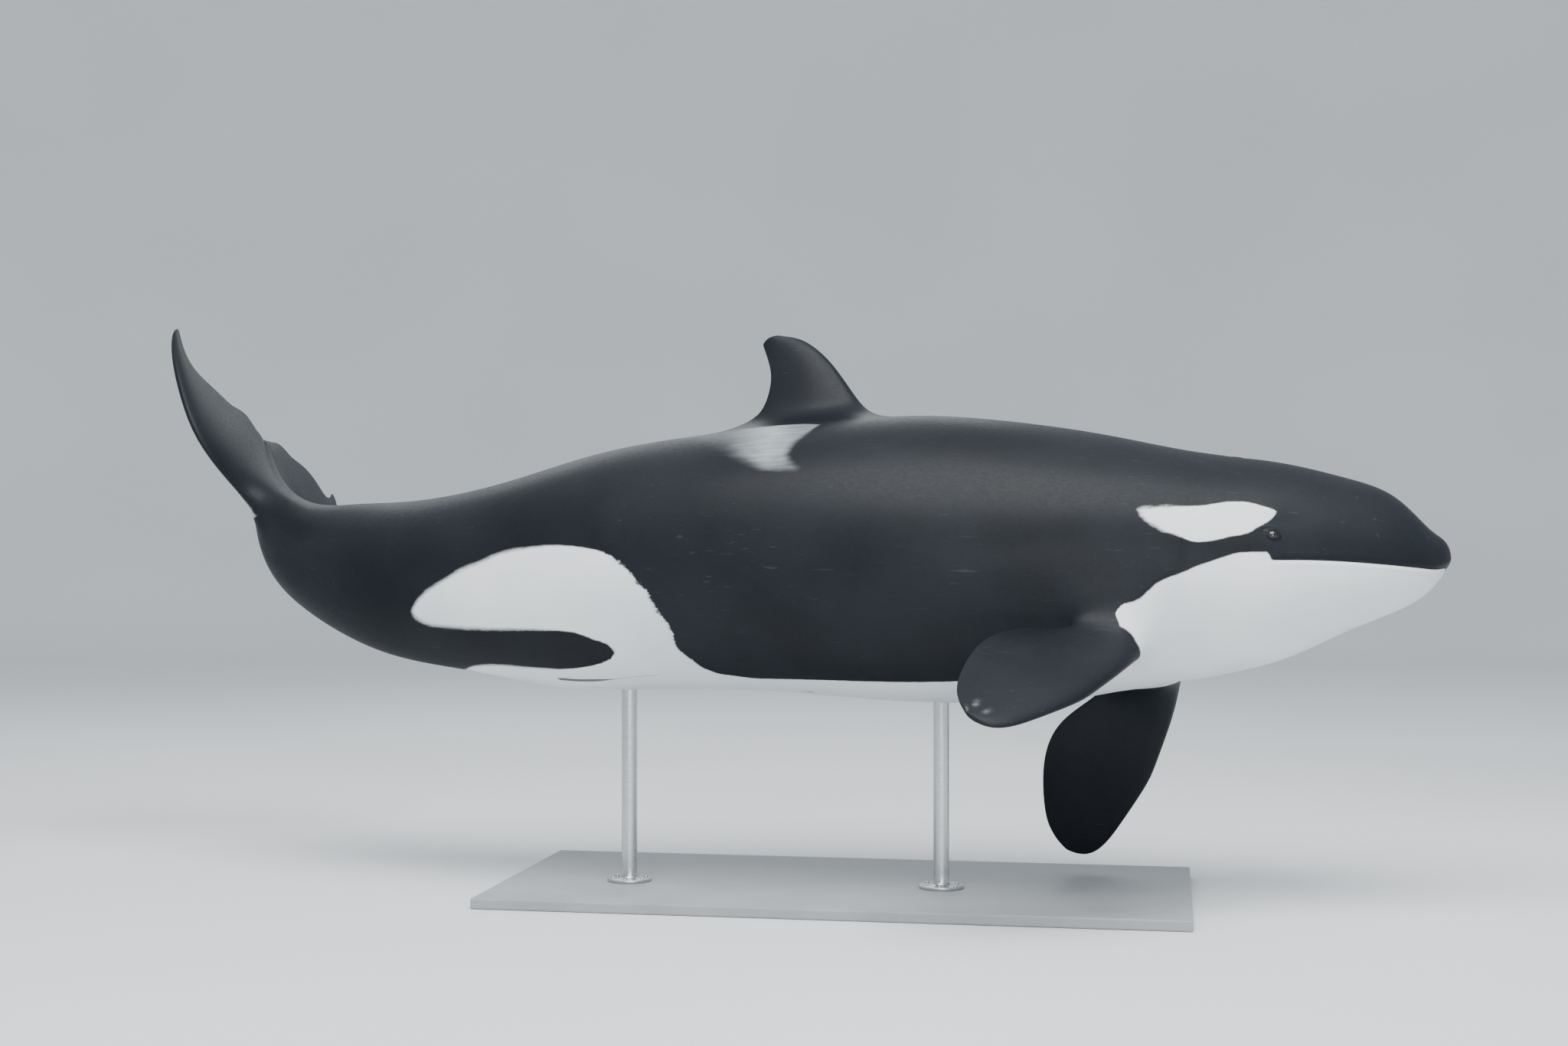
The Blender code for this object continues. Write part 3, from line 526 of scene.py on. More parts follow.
    def stitch(self, before, new, side, r):
        count = len(before)
        for q in range(count):
            n = (q + 1) % count
            self.faces.append((before[q], before[n], new[n], new[q]))
            self.maps.append(("eye%d" % side, ((q / count, (r - 1) / 23), ((q + 1) / count, (r - 1) / 23), ((q + 1) / count, r / 23), (q / count, r / 23))))

    def draw_smooth(self):
        """Draws the skin smooth where the fins grow out of the body."""
        points = self.points
        ends = np.array([(a, b) for face in self.faces for a, b in zip(face, face[1:] + face[:1])])
        for name, rounds, reach in (("pectoral_fin_left", 240, 20), ("pectoral_fin_right", 240, 20), ("dorsal_fin", 90, 9),
                                    ("fluke_left", 160, 13), ("fluke_right", 160, 13)):
            weight = np.zeros(len(points))
            step = np.zeros(len(points), bool)
            step[self.loops[name]] = True
            for k in range(reach):
                weight[step & (weight == 0)] = (1 - k / reach) ** 1.5
                grown = step.copy()
                grown[ends[step[ends[:, 0]], 1]] = True
                grown[ends[step[ends[:, 1]], 0]] = True
                step = grown
            live = np.flatnonzero(weight)
            code = np.full(len(points), -1)
            code[live] = np.arange(len(live))
            mine = ends[code[ends[:, 0]] >= 0]
            a, b = code[mine[:, 0]], mine[:, 1]
            count = np.bincount(a, minlength=len(live))[:, None]
            for k in range(rounds):
                far = points[b]
                mean = np.stack([np.bincount(a, far[:, c], len(live)) for c in range(3)], 1) / count
                points[live] += 0.5 * weight[live, None] * (mean - points[live])

    def normals(self):
        p = self.points
        n = np.zeros_like(p)
        quads = np.array([f if len(f) == 4 else (*f, f[0]) for f in self.faces])
        across = np.cross(p[quads[:, 2]] - p[quads[:, 0]], p[quads[:, 3]] - p[quads[:, 1]])
        for c in range(4):
            for k in range(3):
                n[:, k] += np.bincount(quads[:, c], across[:, k], len(p))
        return n / np.maximum(np.linalg.norm(n, axis=1, keepdims=True), 1e-12)


# ------------------------------------------------------------------ the markings
# Each marking is a closed outline of (station, degrees from the back to the belly) on the body's side.
# The same outline serves both sides. Runs of points are drawn as smooth curves that meet at corners.
EYE_PATCH = [
    [(0.630, 70.4), (0.675, 68.2), (0.717, 66.7), (0.755, 66.4), (0.812, 67.6), (0.865, 69.8), (0.944, 71.9), (1.024, 73.3), (1.077, 74.7), (1.112, 76.8)],
    [(1.112, 76.8), (1.104, 78.6), (1.086, 80.6), (1.065, 82.4), (1.024, 84.9), (0.971, 87.1), (0.929, 88.9), (0.891, 89.2), (0.838, 87.7), (0.785, 85.5), (0.724, 83.0), (0.706, 80.9), (0.679, 78.4), (0.649, 75.0), (0.630, 70.4)],
]
WHITE = [
    [(0.652, 97.9), (0.657, 95.0), (0.664, 93.2)],
    [(0.664, 93.2), (0.706, 93.6), (0.759, 94.2), (0.812, 96.6), (0.865, 99.4), (0.918, 102.2), (0.971, 105.6), (1.024, 108.4), (1.077, 112.4), (1.130, 117.2), (1.176, 119.6), (1.198, 121.6), (1.204, 124.2), (1.185, 128.2), (1.130, 131.6), (1.103, 136.8), (1.096, 138.7)],
    [(1.096, 138.7), (1.20, 147), (1.30, 152), (1.45, 155.5), (1.60, 157.4), (1.74, 158.4), (1.902, 160), (2.187, 162.2), (2.478, 165.6), (2.535, 165.6), (2.592, 164.3), (2.649, 162.8), (2.675, 160.9), (2.713, 156.9), (2.747, 151.3), (2.774, 147.6), (2.789, 144.5), (2.795, 138.1), (2.815, 131.3), (2.842, 126.6), (2.868, 121.4), (2.880, 118), (2.914, 113.3), (2.940, 109.3), (2.967, 105.9), (3.012, 101.9), (3.043, 99.4), (3.103, 97.3), (3.164, 95.7), (3.258, 94.5), (3.319, 94.5), (3.383, 94.8), (3.448, 95.7), (3.512, 97.9), (3.577, 101), (3.641, 103.8), (3.705, 108.7), (3.774, 114.3), (3.827, 121.1), (3.853, 127.2)],
    [(3.853, 127.2), (3.850, 130.0), (3.834, 132.5), (3.785, 135.6), (3.717, 136.2), (3.584, 135.9), (3.452, 134.7), (3.327, 134), (3.202, 134.3), (3.145, 136.2), (3.088, 139.3), (3.046, 142.1), (3.027, 146.7), (3.058, 151.3), (3.107, 154.4), (3.202, 157.5), (3.266, 158.8), (3.361, 159.7), (3.425, 160.6), (3.489, 161.5), (3.558, 164), (3.633, 169), (3.667, 174.8), (3.70, 182)],
    [(3.70, 182), (3.70, 200)],
    [(3.70, 200), (0.50, 200)],
    [(0.50, 200), (0.50, 120)],
    [(0.50, 120), (0.60, 106), (0.652, 97.9)],
]
SADDLE = [
    [(2.298, 29.9), (2.335, 39.0), (2.372, 47.0), (2.392, 54.0), (2.380, 60.0), (2.345, 64.6)],
    [(2.345, 64.6), (2.430, 63.9), (2.490, 61.6), (2.540, 57.0), (2.600, 50.5), (2.671, 42.5), (2.740, 35.5), (2.850, 27.0), (2.960, 16.0), (3.000, 0.0)],
    [(3.000, 0.0), (2.990, -10.0)],
    [(2.990, -10.0), (2.70, -10.0)],
    [(2.70, -10.0), (2.700, 8.0), (2.620, 14.5), (2.520, 18.0), (2.400, 23.0), (2.300, 29.9)],
]
SLIT = [(2.883, 178.0), (2.974, 178.0), (3.069, 177.6), (3.130, 177.0), (3.200, 176.6), (3.274, 177.4)]


def metric(s, turn):
    """Flat coordinates of a skin point, in metres: station, and distance round the body from the back."""
    return s, turn * np.interp(s, RADIUS_AT[0], RADIUS_AT[1])


RADIUS_AT = (GIRTH[:, 0], (GIRTH[:, 1] + GIRTH[:, 2] + 2 * GIRTH[:, 3]) / 4)


def outline(runs):
    """Closed outline in metric coordinates, a smooth curve through each run of points."""
    parts = []
    for run in runs:
        run = np.array(run, float)
        if len(run) == 2:
            line = run[0] + (run[1] - run[0]) * np.linspace(0, 1, 24)[:, None]
        else:
            gap = np.hypot(np.diff(run[:, 0]), np.diff(np.radians(run[:, 1])) * 0.45)
            u = np.concatenate([[0], np.cumsum(np.sqrt(gap))])
            t = np.linspace(0, u[-1], 5 * len(run))
            line = np.stack([curve(u, run[:, 0])(t), curve(u, run[:, 1])(t)], 1)
        parts.append(line[:-1])
    line = np.concatenate(parts)
    x, y = metric(line[:, 0], np.radians(line[:, 1]))
    return np.stack([x, y], 1)


def inside_by(points, ring):
    """Signed distance to a closed outline, positive inside it."""
    a, b = ring, np.roll(ring, -1, 0)
    best = np.full(len(points), 1e9)
    odd = np.zeros(len(points), bool)
    for p, q in zip(a, b):
        d = q - p
        w = points - p
        t = np.clip((w @ d) / max(d @ d, 1e-12), 0, 1)
        best = np.minimum(best, ((w - t[:, None] * d) ** 2).sum(1))
        crosses = (p[1] > points[:, 1]) != (q[1] > points[:, 1])
        with np.errstate(divide="ignore", invalid="ignore"):
            odd ^= crosses & (points[:, 0] < (q[0] - p[0]) * (points[:, 1] - p[1]) / (q[1] - p[1]) + p[0])
    return np.where(odd, 1, -1) * np.sqrt(best)


def line_distance(points, line):
    """Distance to an open line, and the share of its length at the nearest point."""
    line = np.asarray(line, float)
    gaps = np.hypot(*np.diff(line, axis=0).T)
    before = np.concatenate([[0], np.cumsum(gaps)])
    best, share = np.full(len(points), 1e9), np.zeros(len(points))
    for k, (p, q) in enumerate(zip(line, line[1:])):
        d, w = q - p, points - p
        t = np.clip((w @ d) / max(d @ d, 1e-12), 0, 1)
        gap = ((w - t[:, None] * d) ** 2).sum(1)
        near = gap < best
        best = np.where(near, gap, best)
        share = np.where(near, (before[k] + t * gaps[k]) / before[-1], share)
    return np.sqrt(best), share


def marks(skin, normals):
    """Signed distances of the markings at every point of the skin."""
    s, turn = skin.s, np.mod(skin.turn, 2 * np.pi)
    half = np.where(turn <= np.pi, turn, 2 * np.pi - turn)
    flat = np.stack(metric(s, half), 1)
    place, f, l, u = SPINE.at(s)
    height = ((skin.points - place) * u).sum(1)
    up = (normals * u).sum(1)
    line = curve([p[0] for p in MOUTH], [p[1] for p in MOUTH])(s)
    lip = (line - height) / np.sqrt(np.maximum(1 - up**2, 0.05))
    body = skin.fin == 0
    white = np.full(len(s), -0.3)
    chin = np.minimum(lip, MOUTH_END + 0.010 - s)
    near = s < 4.1
    ring = outline(WHITE)
    white[near] = np.maximum(inside_by(flat[near], ring), np.where(s[near] < 0.75, chin[near], -1))
    patch = np.full(len(s), -0.3)
    near = s < 1.5
    patch[near] = inside_by(flat[near], outline(EYE_PATCH))
    saddle = np.full(len(s), -0.3)
    near = (s > 1.9) & (s < 3.4)
    saddle[near] = inside_by(flat[near], outline(SADDLE))
    # Fins are black from the root on, with white drawn a hand's width out round the pectoral fins' leading edges;
    # the flukes' undersides are white inside a black margin.
    fin = skin.fin
    pectoral = (fin == 2) | (fin == 3)
    above = np.where(fin == 2, 1.0, ease((np.radians(136) - half) / np.radians(14)))
    reach = 0.016 + above * (np.interp(skin.chord, [0.0, 0.06, 0.15, 0.30, 0.365, 0.40, 0.46], [0.080, 0.080, 0.073, 0.068, 0.045, 0.024, 0.016]) - 0.016)
    upper = pectoral & (half < np.radians(125))
    low = np.interp(skin.chord, [0.30, 0.333, 0.37, 0.40], [-0.060, 0.010, 0.024, 0.045])
    white = np.where(upper, 0.75 * (skin.out - low), white)
    white = np.where(pectoral, np.minimum(white, 0.75 * (reach - skin.out)), white)
    patch[~body] = -0.3
    saddle[~body & (fin != 1)] = -0.3
    saddle = np.where(fin == 1, np.minimum(saddle, 0.016 - 0.55 * skin.out), saddle)
    under = np.full(len(s), -0.3)
    for number in (4, 5):
        mine = fin == number
        margin = np.minimum(skin.chord, 1 - skin.chord) * np.interp(skin.out, [0, 1], [0.45, 0.12])
        mine &= up < 0.1
        under[mine] = np.minimum(margin[mine] - 0.022, np.minimum(0.30 * (0.97 - skin.out[mine]), 0.30 * (skin.out[mine] - 0.02)))
    return dict(white=white, patch=patch, saddle=saddle, under=under, lip=lip, half=half, height=height)


# ------------------------------------------------------------------ nodes of a material
class Look:
    """A material whose colour, roughness and height come from nodes."""

    def __init__(self, name):
        self.material = bpy.data.materials.new(name)
        self.material.use_nodes = True
        self.tree = self.material.node_tree
        self.shader = self.tree.nodes["Principled BSDF"]
        self.coords = None

    def put(self, socket, value):
        if isinstance(value, bpy.types.NodeSocket):
            self.tree.links.new(value, socket)
        elif isinstance(value, (tuple, list)) and len(value) == 3 and socket.type == "RGBA":
            socket.default_value = (*value, 1)
        else:
            socket.default_value = value

    def math(self, kind, a, b=0.0, c=0.0):
        node = self.tree.nodes.new("ShaderNodeMath")
        node.operation = kind
        for socket, value in zip(node.inputs, (a, b, c)):
            self.put(socket, value)
        return node.outputs[0]

    def ramp(self, value, low, high, to_low=0.0, to_high=1.0):
        """Smooth step of a value between two limits."""
        node = self.tree.nodes.new("ShaderNodeMapRange")
        node.interpolation_type = "SMOOTHSTEP"
        for name, given in (("Value", value), ("From Min", low), ("From Max", high), ("To Min", to_low), ("To Max", to_high)):
            self.put(node.inputs[name], given)
        return node.outputs["Result"]

    def mix(self, share, a, b):
        node = self.tree.nodes.new("ShaderNodeMix")
        node.data_type = "RGBA"
        self.put(node.inputs["Factor"], share)
        self.put(node.inputs[6], a)
        self.put(node.inputs[7], b)
        return node.outputs[2]

    def value(self, name):
        node = self.tree.nodes.new("ShaderNodeAttribute")
        node.attribute_name = name
        return node.outputs["Fac"]

    def vector(self, name, stretch=(1, 1, 1)):
        node = self.tree.nodes.new("ShaderNodeAttribute")
        node.attribute_name = name
        return self.stretched(node.outputs["Vector"], stretch)

    def stretched(self, vector, stretch):
        if tuple(stretch) == (1, 1, 1):
            return vector
        node = self.tree.nodes.new("ShaderNodeVectorMath")
        node.operation = "MULTIPLY"
        self.tree.links.new(vector, node.inputs[0])
        node.inputs[1].default_value = stretch
        return node.outputs[0]

    def place(self, stretch=(1, 1, 1)):
        if self.coords is None:
            self.coords = self.tree.nodes.new("ShaderNodeTexCoord").outputs["Object"]
        return self.stretched(self.coords, stretch)

    def noise(self, where, scale, detail=3.0, rough=0.55, distortion=0.0):
        node = self.tree.nodes.new("ShaderNodeTexNoise")
        self.put(node.inputs["Vector"], where)
        node.inputs["Scale"].default_value = scale
        node.inputs["Detail"].default_value = detail
        node.inputs["Roughness"].default_value = rough
        node.inputs["Distortion"].default_value = distortion
        return node.outputs["Fac"]

    def cells(self, where, scale, feature="F1"):
        node = self.tree.nodes.new("ShaderNodeTexVoronoi")
        node.feature = feature
        self.put(node.inputs["Vector"], where)
        node.inputs["Scale"].default_value = scale
        return node.outputs["Distance"]

    def bump(self, height, distance, strength=1.0):
        node = self.tree.nodes.new("ShaderNodeBump")
        node.inputs["Strength"].default_value = strength
        node.inputs["Distance"].default_value = distance
        self.put(node.inputs["Height"], height)
        self.tree.links.new(node.outputs["Normal"], self.shader.inputs["Normal"])

    def surface(self, **values):
        names = dict(colour="Base Color", roughness="Roughness", metallic="Metallic", ior="IOR", specular="Specular IOR Level",
                     coat="Coat Weight", coat_roughness="Coat Roughness", anisotropic="Anisotropic")
        for name, value in values.items():
            self.put(self.shader.inputs[names[name]], value)


def skin_look():
    look = Look("orca_skin")
    add, mul, sub = (lambda a, b: look.math("ADD", a, b)), (lambda a, b: look.math("MULTIPLY", a, b)), (lambda a, b: look.math("SUBTRACT", a, b))
    ragged = sub(look.noise(look.vector("rest", (1.0, 1.6, 1.6)), 34, 5, 0.62), 0.5)
    streaks = sub(look.noise(look.vector("rest", (1.0, 7.0, 7.0)), 9, 4, 0.6), 0.5)
    broad = look.noise(look.vector("rest"), 2.3, 4, 0.5)
    fine = look.noise(look.place(), 150, 4, 0.6)

    def mask(name):
        edge = add(look.value(name), add(mul(ragged, look.value("ragged")), mul(streaks, look.value("streaked"))))
        soft = look.value("soft")
        return look.ramp(edge, mul(soft, -1.0), soft)

    white_mask, patch_mask, under_mask = mask("white"), mask("patch"), mask("under")
    pale = look.math("MAXIMUM", look.math("MAXIMUM", white_mask, patch_mask), under_mask)
    edge = look.value("saddle_soft")
    saddle = look.ramp(add(look.value("saddle"), add(mul(streaks, mul(edge, 0.6)), mul(ragged, 0.008))), mul(edge, -0.9), edge)
    # The saddle's grey is scaled by its own weight, which is partly real grey and partly a painted highlight where it
    # peaks.
    saddle = mul(saddle, mul(look.value("saddle_grey_and_highlight"), look.ramp(streaks, -0.30, 0.20, 0.86, 1.0)))

    # Long faint scars lie along the flanks; the white shows small rub marks.
    scar_noise = look.noise(look.vector("rest", (1.0, 16.0, 16.0)), 6.0, 3, 0.5, 0.4)
    scars = mul(look.ramp(scar_noise, 0.665, 0.72), look.ramp(broad, 0.45, 0.62))
    thin = look.noise(look.vector("rest", (1.6, 60.0, 60.0)), 4.0, 2, 0.5, 0.25)
    scratches = mul(look.ramp(thin, 0.70, 0.74), look.ramp(look.noise(look.vector("rest"), 3.4, 2, 0.5), 0.52, 0.66))

    black = look.mix(look.ramp(broad, 0.30, 0.72), (0.0050, 0.0065, 0.0095), (0.0095, 0.0122, 0.0165))
    black = look.mix(mul(look.ramp(fine, 0.35, 0.8), 0.25), black, (0.017, 0.021, 0.027))
    black = look.mix(mul(look.math("MAXIMUM", scars, scratches), 0.16), black, (0.10, 0.115, 0.13))
    grey = look.mix(look.ramp(add(streaks, 0.5), 0.3, 0.7), (0.235, 0.265, 0.28), (0.32, 0.355, 0.37))
    white = look.mix(look.ramp(broad, 0.3, 0.75), (0.80, 0.835, 0.845), (0.70, 0.745, 0.765))
    white = look.mix(mul(look.ramp(fine, 0.45, 0.85), 0.25), white, (0.62, 0.66, 0.68))
    white = look.mix(mul(scratches, 0.22), white, (0.50, 0.53, 0.55))
    colour = look.mix(saddle, black, grey)
    colour = look.mix(mul(mul(look.value("scuff"), 0.75), look.ramp(add(ragged, 0.5), 0.20, 0.66)), colour, (0.20, 0.225, 0.235))
    colour = look.mix(pale, colour, white)

    # Painted shade: the crease of the mouth, the slits of the belly, the blowhole and the navel are darkened in colour
    # as if in shadow; the lids' rims get a dark colour of their own.
    across, along = look.value("slit_across"), look.value("station")
    reach = mul(look.ramp(along, 2.86, 2.90), look.ramp(along, 3.275, 3.295, 1.0, 0.0))
    width = add(0.0016, look.ramp(along, 3.04, 3.15, 0.0, 0.0085))
    slit = mul(look.ramp(sub(width, look.math("ABSOLUTE", across)), -0.0012, 0.0022), reach)
    middle = mul(look.ramp(sub(0.0030, look.math("ABSOLUTE", look.value("belly_across"))), -0.0018, 0.0018),
                 mul(look.ramp(along, 3.12, 3.16), look.ramp(along, 3.40, 3.43, 1.0, 0.0)))
    crease = mul(look.ramp(sub(0.0030, look.math("ABSOLUTE", look.value("lip"))), -0.0016, 0.0018), look.ramp(along, 0.640, 0.660, 1.0, 0.0))
    crease = mul(crease, look.value("on_body"))
    recess_shade = look.math("MAXIMUM", look.math("MAXIMUM", mul(slit, 0.85), mul(middle, 0.75)), look.math("MAXIMUM", crease, look.value("pit_shade")))
    colour = look.mix(recess_shade, colour, (0.012, 0.012, 0.014))
    colour = look.mix(look.value("lid"), colour, (0.030, 0.030, 0.034))

    grain = look.noise(look.vector("rest", (1.0, 2.2, 2.2)), 60, 4, 0.6)
    roughness = look.ramp(add(mul(grain, 0.6), mul(broad, 0.4)), 0.32, 0.68, 0.42, 0.56)
    roughness = add(roughness, mul(pale, 0.04))
    height = add(mul(grain, 0.5), add(mul(fine, 0.25), mul(look.math("MAXIMUM", scars, scratches), -0.35)))
    look.bump(height, 0.0011, 0.55)
    look.surface(colour=colour, roughness=roughness, ior=1.40, specular=0.22, coat=0.04, coat_roughness=0.25)
    return look.material


def eye_look():
    look = Look("orca_eye")
    gaze = look.value("gaze")      # degrees from the eye's middle
    fibres = look.noise(look.vector("fibre"), 5.0, 4, 0.65)
    iris = look.mix(look.ramp(fibres, 0.35, 0.65), (0.010, 0.0055, 0.0035), (0.036, 0.019, 0.011))
    iris = look.mix(look.ramp(gaze, 24.0, 33.0), iris, (0.006, 0.004, 0.003))
    rim = look.mix(look.ramp(look.noise(look.place(), 420, 4, 0.6), 0.4, 0.7), (0.030, 0.024, 0.022), (0.060, 0.050, 0.046))
    colour = look.mix(look.ramp(gaze, 31.0, 37.0), iris, rim)
    colour = look.mix(look.ramp(gaze, 12.5, 15.5, 1.0, 0.0), colour, (0.003, 0.003, 0.004))
    look.bump(look.noise(look.place(), 300, 3, 0.5), 0.0002, 0.25)
    look.surface(colour=colour, roughness=look.ramp(look.noise(look.place(), 200, 3, 0.5), 0.3, 0.7, 0.10, 0.20), coat=1.0, coat_roughness=0.03)
    return look.material


def paint_look():
    look = Look("plinth_paint")
    broad, fine = look.noise(look.place(), 3.0, 4, 0.55), look.noise(look.place(), 260, 3, 0.6)
    peel = look.noise(look.place(), 95, 2, 0.5)
    colour = look.mix(look.ramp(broad, 0.3, 0.7), (0.30, 0.315, 0.33), (0.345, 0.36, 0.375))
    colour = look.mix(look.math("MULTIPLY", look.ramp(fine, 0.62, 0.78), 0.35), colour, (0.24, 0.25, 0.265))
    dust = look.ramp(look.noise(look.place(), 11, 5, 0.6), 0.52, 0.75, 0.0, 0.22)
    colour = look.mix(dust, colour, (0.42, 0.425, 0.43))
    look.bump(look.math("ADD", peel, look.math("MULTIPLY", fine, 0.3)), 0.0006, 0.35)
    look.surface(colour=colour, roughness=look.ramp(broad, 0.3, 0.7, 0.40, 0.54), specular=0.45)
    return look.material


def steel_look():
    look = Look("brushed_steel")
    turns = look.noise(look.place((1, 1, 130)), 9, 4, 0.65)
    broad = look.noise(look.place(), 6, 3, 0.5)
    colour = look.mix(look.ramp(turns, 0.3, 0.7), (0.52, 0.53, 0.545), (0.64, 0.645, 0.655))
    colour = look.mix(look.ramp(broad, 0.5, 0.8, 0.0, 0.25), colour, (0.45, 0.455, 0.47))
    look.bump(turns, 0.00025, 0.35)
    look.surface(colour=colour, metallic=1.0, roughness=look.ramp(turns, 0.3, 0.7, 0.24, 0.38))
    return look.material


def floor_look():
    look = Look("studio_floor")
    broad = look.noise(look.place(), 0.35, 1, 0.5)
    colour = look.mix(look.ramp(broad, 0.3, 0.7), (0.74, 0.765, 0.785), (0.775, 0.80, 0.82))
    look.surface(colour=colour, roughness=look.ramp(broad, 0.3, 0.7, 0.60, 0.70), specular=0.15)
    return look.material


# ------------------------------------------------------------------ folds and openings of the skin
def folds(skin, marks_at):
    """How far each point of the skin stands out along its normal, and how deep it lies in an opening, which sets the
    painted shade of the blowhole and the navel.
    """
    s, half, lip = skin.s, marks_at["half"], marks_at["lip"]
    turn = np.mod(skin.turn, 2 * np.pi)
    body = (skin.fin == 0) & (skin.out > -0.5)
    round_at = np.interp(s, *RADIUS_AT)
    arc = half * round_at
    rise = np.zeros(len(s))
    # The mouth: a groove between two lips that ends in a small upturned corner.
    held = ease((MOUTH_END - s) / 0.035) * (s < MOUTH_END)
    fade = 0.35 + 0.65 * ease((s - 0.02) / 0.11)
    rise += held * fade * (-0.0062 * bell(lip, 0.0046) + 0.0028 * bell(lip - 0.0140, 0.0095) + 0.0020 * bell(lip + 0.0145, 0.0100))
    rise += -0.0040 * bell(s - 0.664, 0.012) * bell(lip, 0.010)
    rise += -0.0022 * bell(s - 0.705, 0.030) * bell(lip + 0.016 + 0.25 * (s - 0.68), 0.012)
    # The blowhole: a crescent slit with a raised rim on the top of the head.
    middle, half_width, ahead = BLOWHOLE
    a = np.where(turn <= np.pi, arc, -arc)
    t = np.linspace(-1, 1, 41)
    crescent = np.stack([middle - ahead * t**2, half_width * t], 1)
    near = body & (abs(s - middle) < 0.25) & (arc < 0.25)
    gap = np.full(len(s), 1.0)
    gap[near] = line_distance(np.stack([s[near], a[near]], 1), crescent)[0]
    rise += -0.0075 * bell(gap, 0.0052) + 0.0042 * bell(gap - 0.0165, 0.0120) - 0.0030 * bell(gap - 0.055, 0.022)
    # The belly's slits and the navel.
    rise += -0.0050 * bell(arc - np.pi * round_at, 0.012) * ease((s - 3.10) / 0.06) * ease((3.46 - s) / 0.06) * (s > 3.0) * (s < 3.6)
    rise += 0.0030 * bell(abs(arc - np.pi * round_at) - 0.035, 0.022) * bell(s - 3.28, 0.17)
    rise += -0.0045 * bell(s - 2.330, 0.022) * bell(arc - np.pi * round_at, 0.014) + 0.0022 * bell(s - 2.330, 0.060) * bell(arc - np.pi * round_at, 0.050)
    # Blubber and muscle under the skin: shallow swells, a crease behind the head, ridges of the tail stock.
    swell = (np.sin(5.1 * s + 1.7 * np.cos(2 * half) + 0.4) * np.sin(3.0 * half + 0.8 * s) + 0.6 * np.sin(9.7 * s + 4 * half + 1.1))
    rise += 0.0013 * swell * ease((s - 0.7) / 0.5)
    rise += -0.0022 * bell(s - 0.955 - 0.10 * (half - 1.8), 0.030) * ease((half - 1.0) / 0.5) * ease((2.75 - half) / 0.5)
    rise += -0.0018 * bell(s - 0.905 - 0.16 * (half - 1.8), 0.022) * ease((half - 1.5) / 0.4) * ease((2.6 - half) / 0.4)
    rise += 0.0030 * bell(half - np.radians(93), 0.16) * ease((s - 3.7) / 0.5) * ease((4.9 - s) / 0.4)
    # The brow over the eye, the soft hollow round it and the folds of its lids.
    rise += 0.0042 * bell(s - 0.640, 0.060) * bell(arc - np.radians(70) * round_at, 0.030)
    rise[~body] = 0
    # Painted shade: the blowhole's slit and the navel are darkened in colour as if in shadow.
    pit_shade = np.clip(bell(gap, 0.0055) * 1.15, 0, 1) * near
    pit_shade = np.maximum(pit_shade, 0.85 * bell(s - 2.330, 0.014) * bell(arc - np.pi * round_at, 0.006) * body)
    return rise, pit_shade


def lid_rise(skin):
    """Folds round the eyes, and the lids drawn over the eyeball."""
    rise = np.zeros(len(skin.s))
    lid = np.zeros(len(skin.s))
    for side, (before, opening, at, out, front, up) in skin.lids.items():
        d = skin.points - at
        x, y, h = d @ front, d @ up, d @ out
        near = (skin.fin == 0) & (np.hypot(x, y) < 0.12) & (abs(h) < 0.06) & (skin.out > -0.5)
        w, z = x / EYE_OPENING[0], (y + 0.0022 * (x / EYE_OPENING[0]) * abs(x / EYE_OPENING[0]).clip(0, 2)) / EYE_OPENING[1]
        r = np.hypot(w, z)
        # The lids bulge over the ball; a deep fold runs over the upper lid, two finer ones under the lower.
        drape = 0.0052 * bell(np.maximum(r - 1, 0), 0.75)
        upper, lower = ease(0.5 + 0.5 * z / np.maximum(r, 0.2)), ease(0.5 - 0.5 * z / np.maximum(r, 0.2))
        fold = -0.0024 * bell(r - 2.05, 0.34) * (0.40 + 0.60 * upper) + 0.0013 * bell(r - 2.55, 0.35) * upper
        fold += -0.0012 * bell(r - 2.9, 0.34) * lower - 0.0006 * bell(r - 3.7, 0.45) * lower
        corner = -0.0022 * bell(abs(w) - 1.55, 0.45) * bell(z + 0.15, 0.35)
        rise += np.where(near, drape + fold + corner, 0)
        lid = np.maximum(lid, np.where(near, np.clip(1.25 - r, 0, 0.25) * 4 * 0.8, 0))
    lid[skin.out < -0.5] = 1
    return rise, lid


LID_SOFT = 0.0012    # how softly the lids run out into the skin round them


def drape_lids(skin):
    """Skin near the eyes keeps at least a lid's thickness over the eyeball."""
    for side, (before, opening, at, out, front, up) in skin.lids.items():
        centre = at - out * EYE_SINK
        d = skin.points - centre
        gap = np.linalg.norm(d, axis=1)
        least = EYE_RADIUS + 0.0026
        near = (skin.fin == 0) & (gap < least + 0.011) & (d @ out > 0) & (skin.out > -0.5)
        kept = least + LID_SOFT * np.logaddexp(0, (gap[near] - least) / LID_SOFT)
        skin.points[near] = centre + d[near] * (kept / gap[near])[:, None]


def mesh_from(name, points, faces, material, smooth=True):
    mesh = bpy.data.meshes.new(name)
    mesh.from_pydata([tuple(p) for p in points], [], faces)
    mesh.update()
    mesh.polygons.foreach_set("use_smooth", [smooth] * len(mesh.polygons))
    mesh.materials.append(material)
    made = bpy.data.objects.new(name, mesh)
    bpy.context.scene.collection.objects.link(made)
    return made


def give(made, name, values):
    values = np.asarray(values, np.float32)
    kind = "FLOAT" if values.ndim == 1 else "FLOAT_VECTOR"
    layer = made.data.attributes.new(name, kind, "POINT")
    layer.data.foreach_set("value" if values.ndim == 1 else "vector", values.ravel())


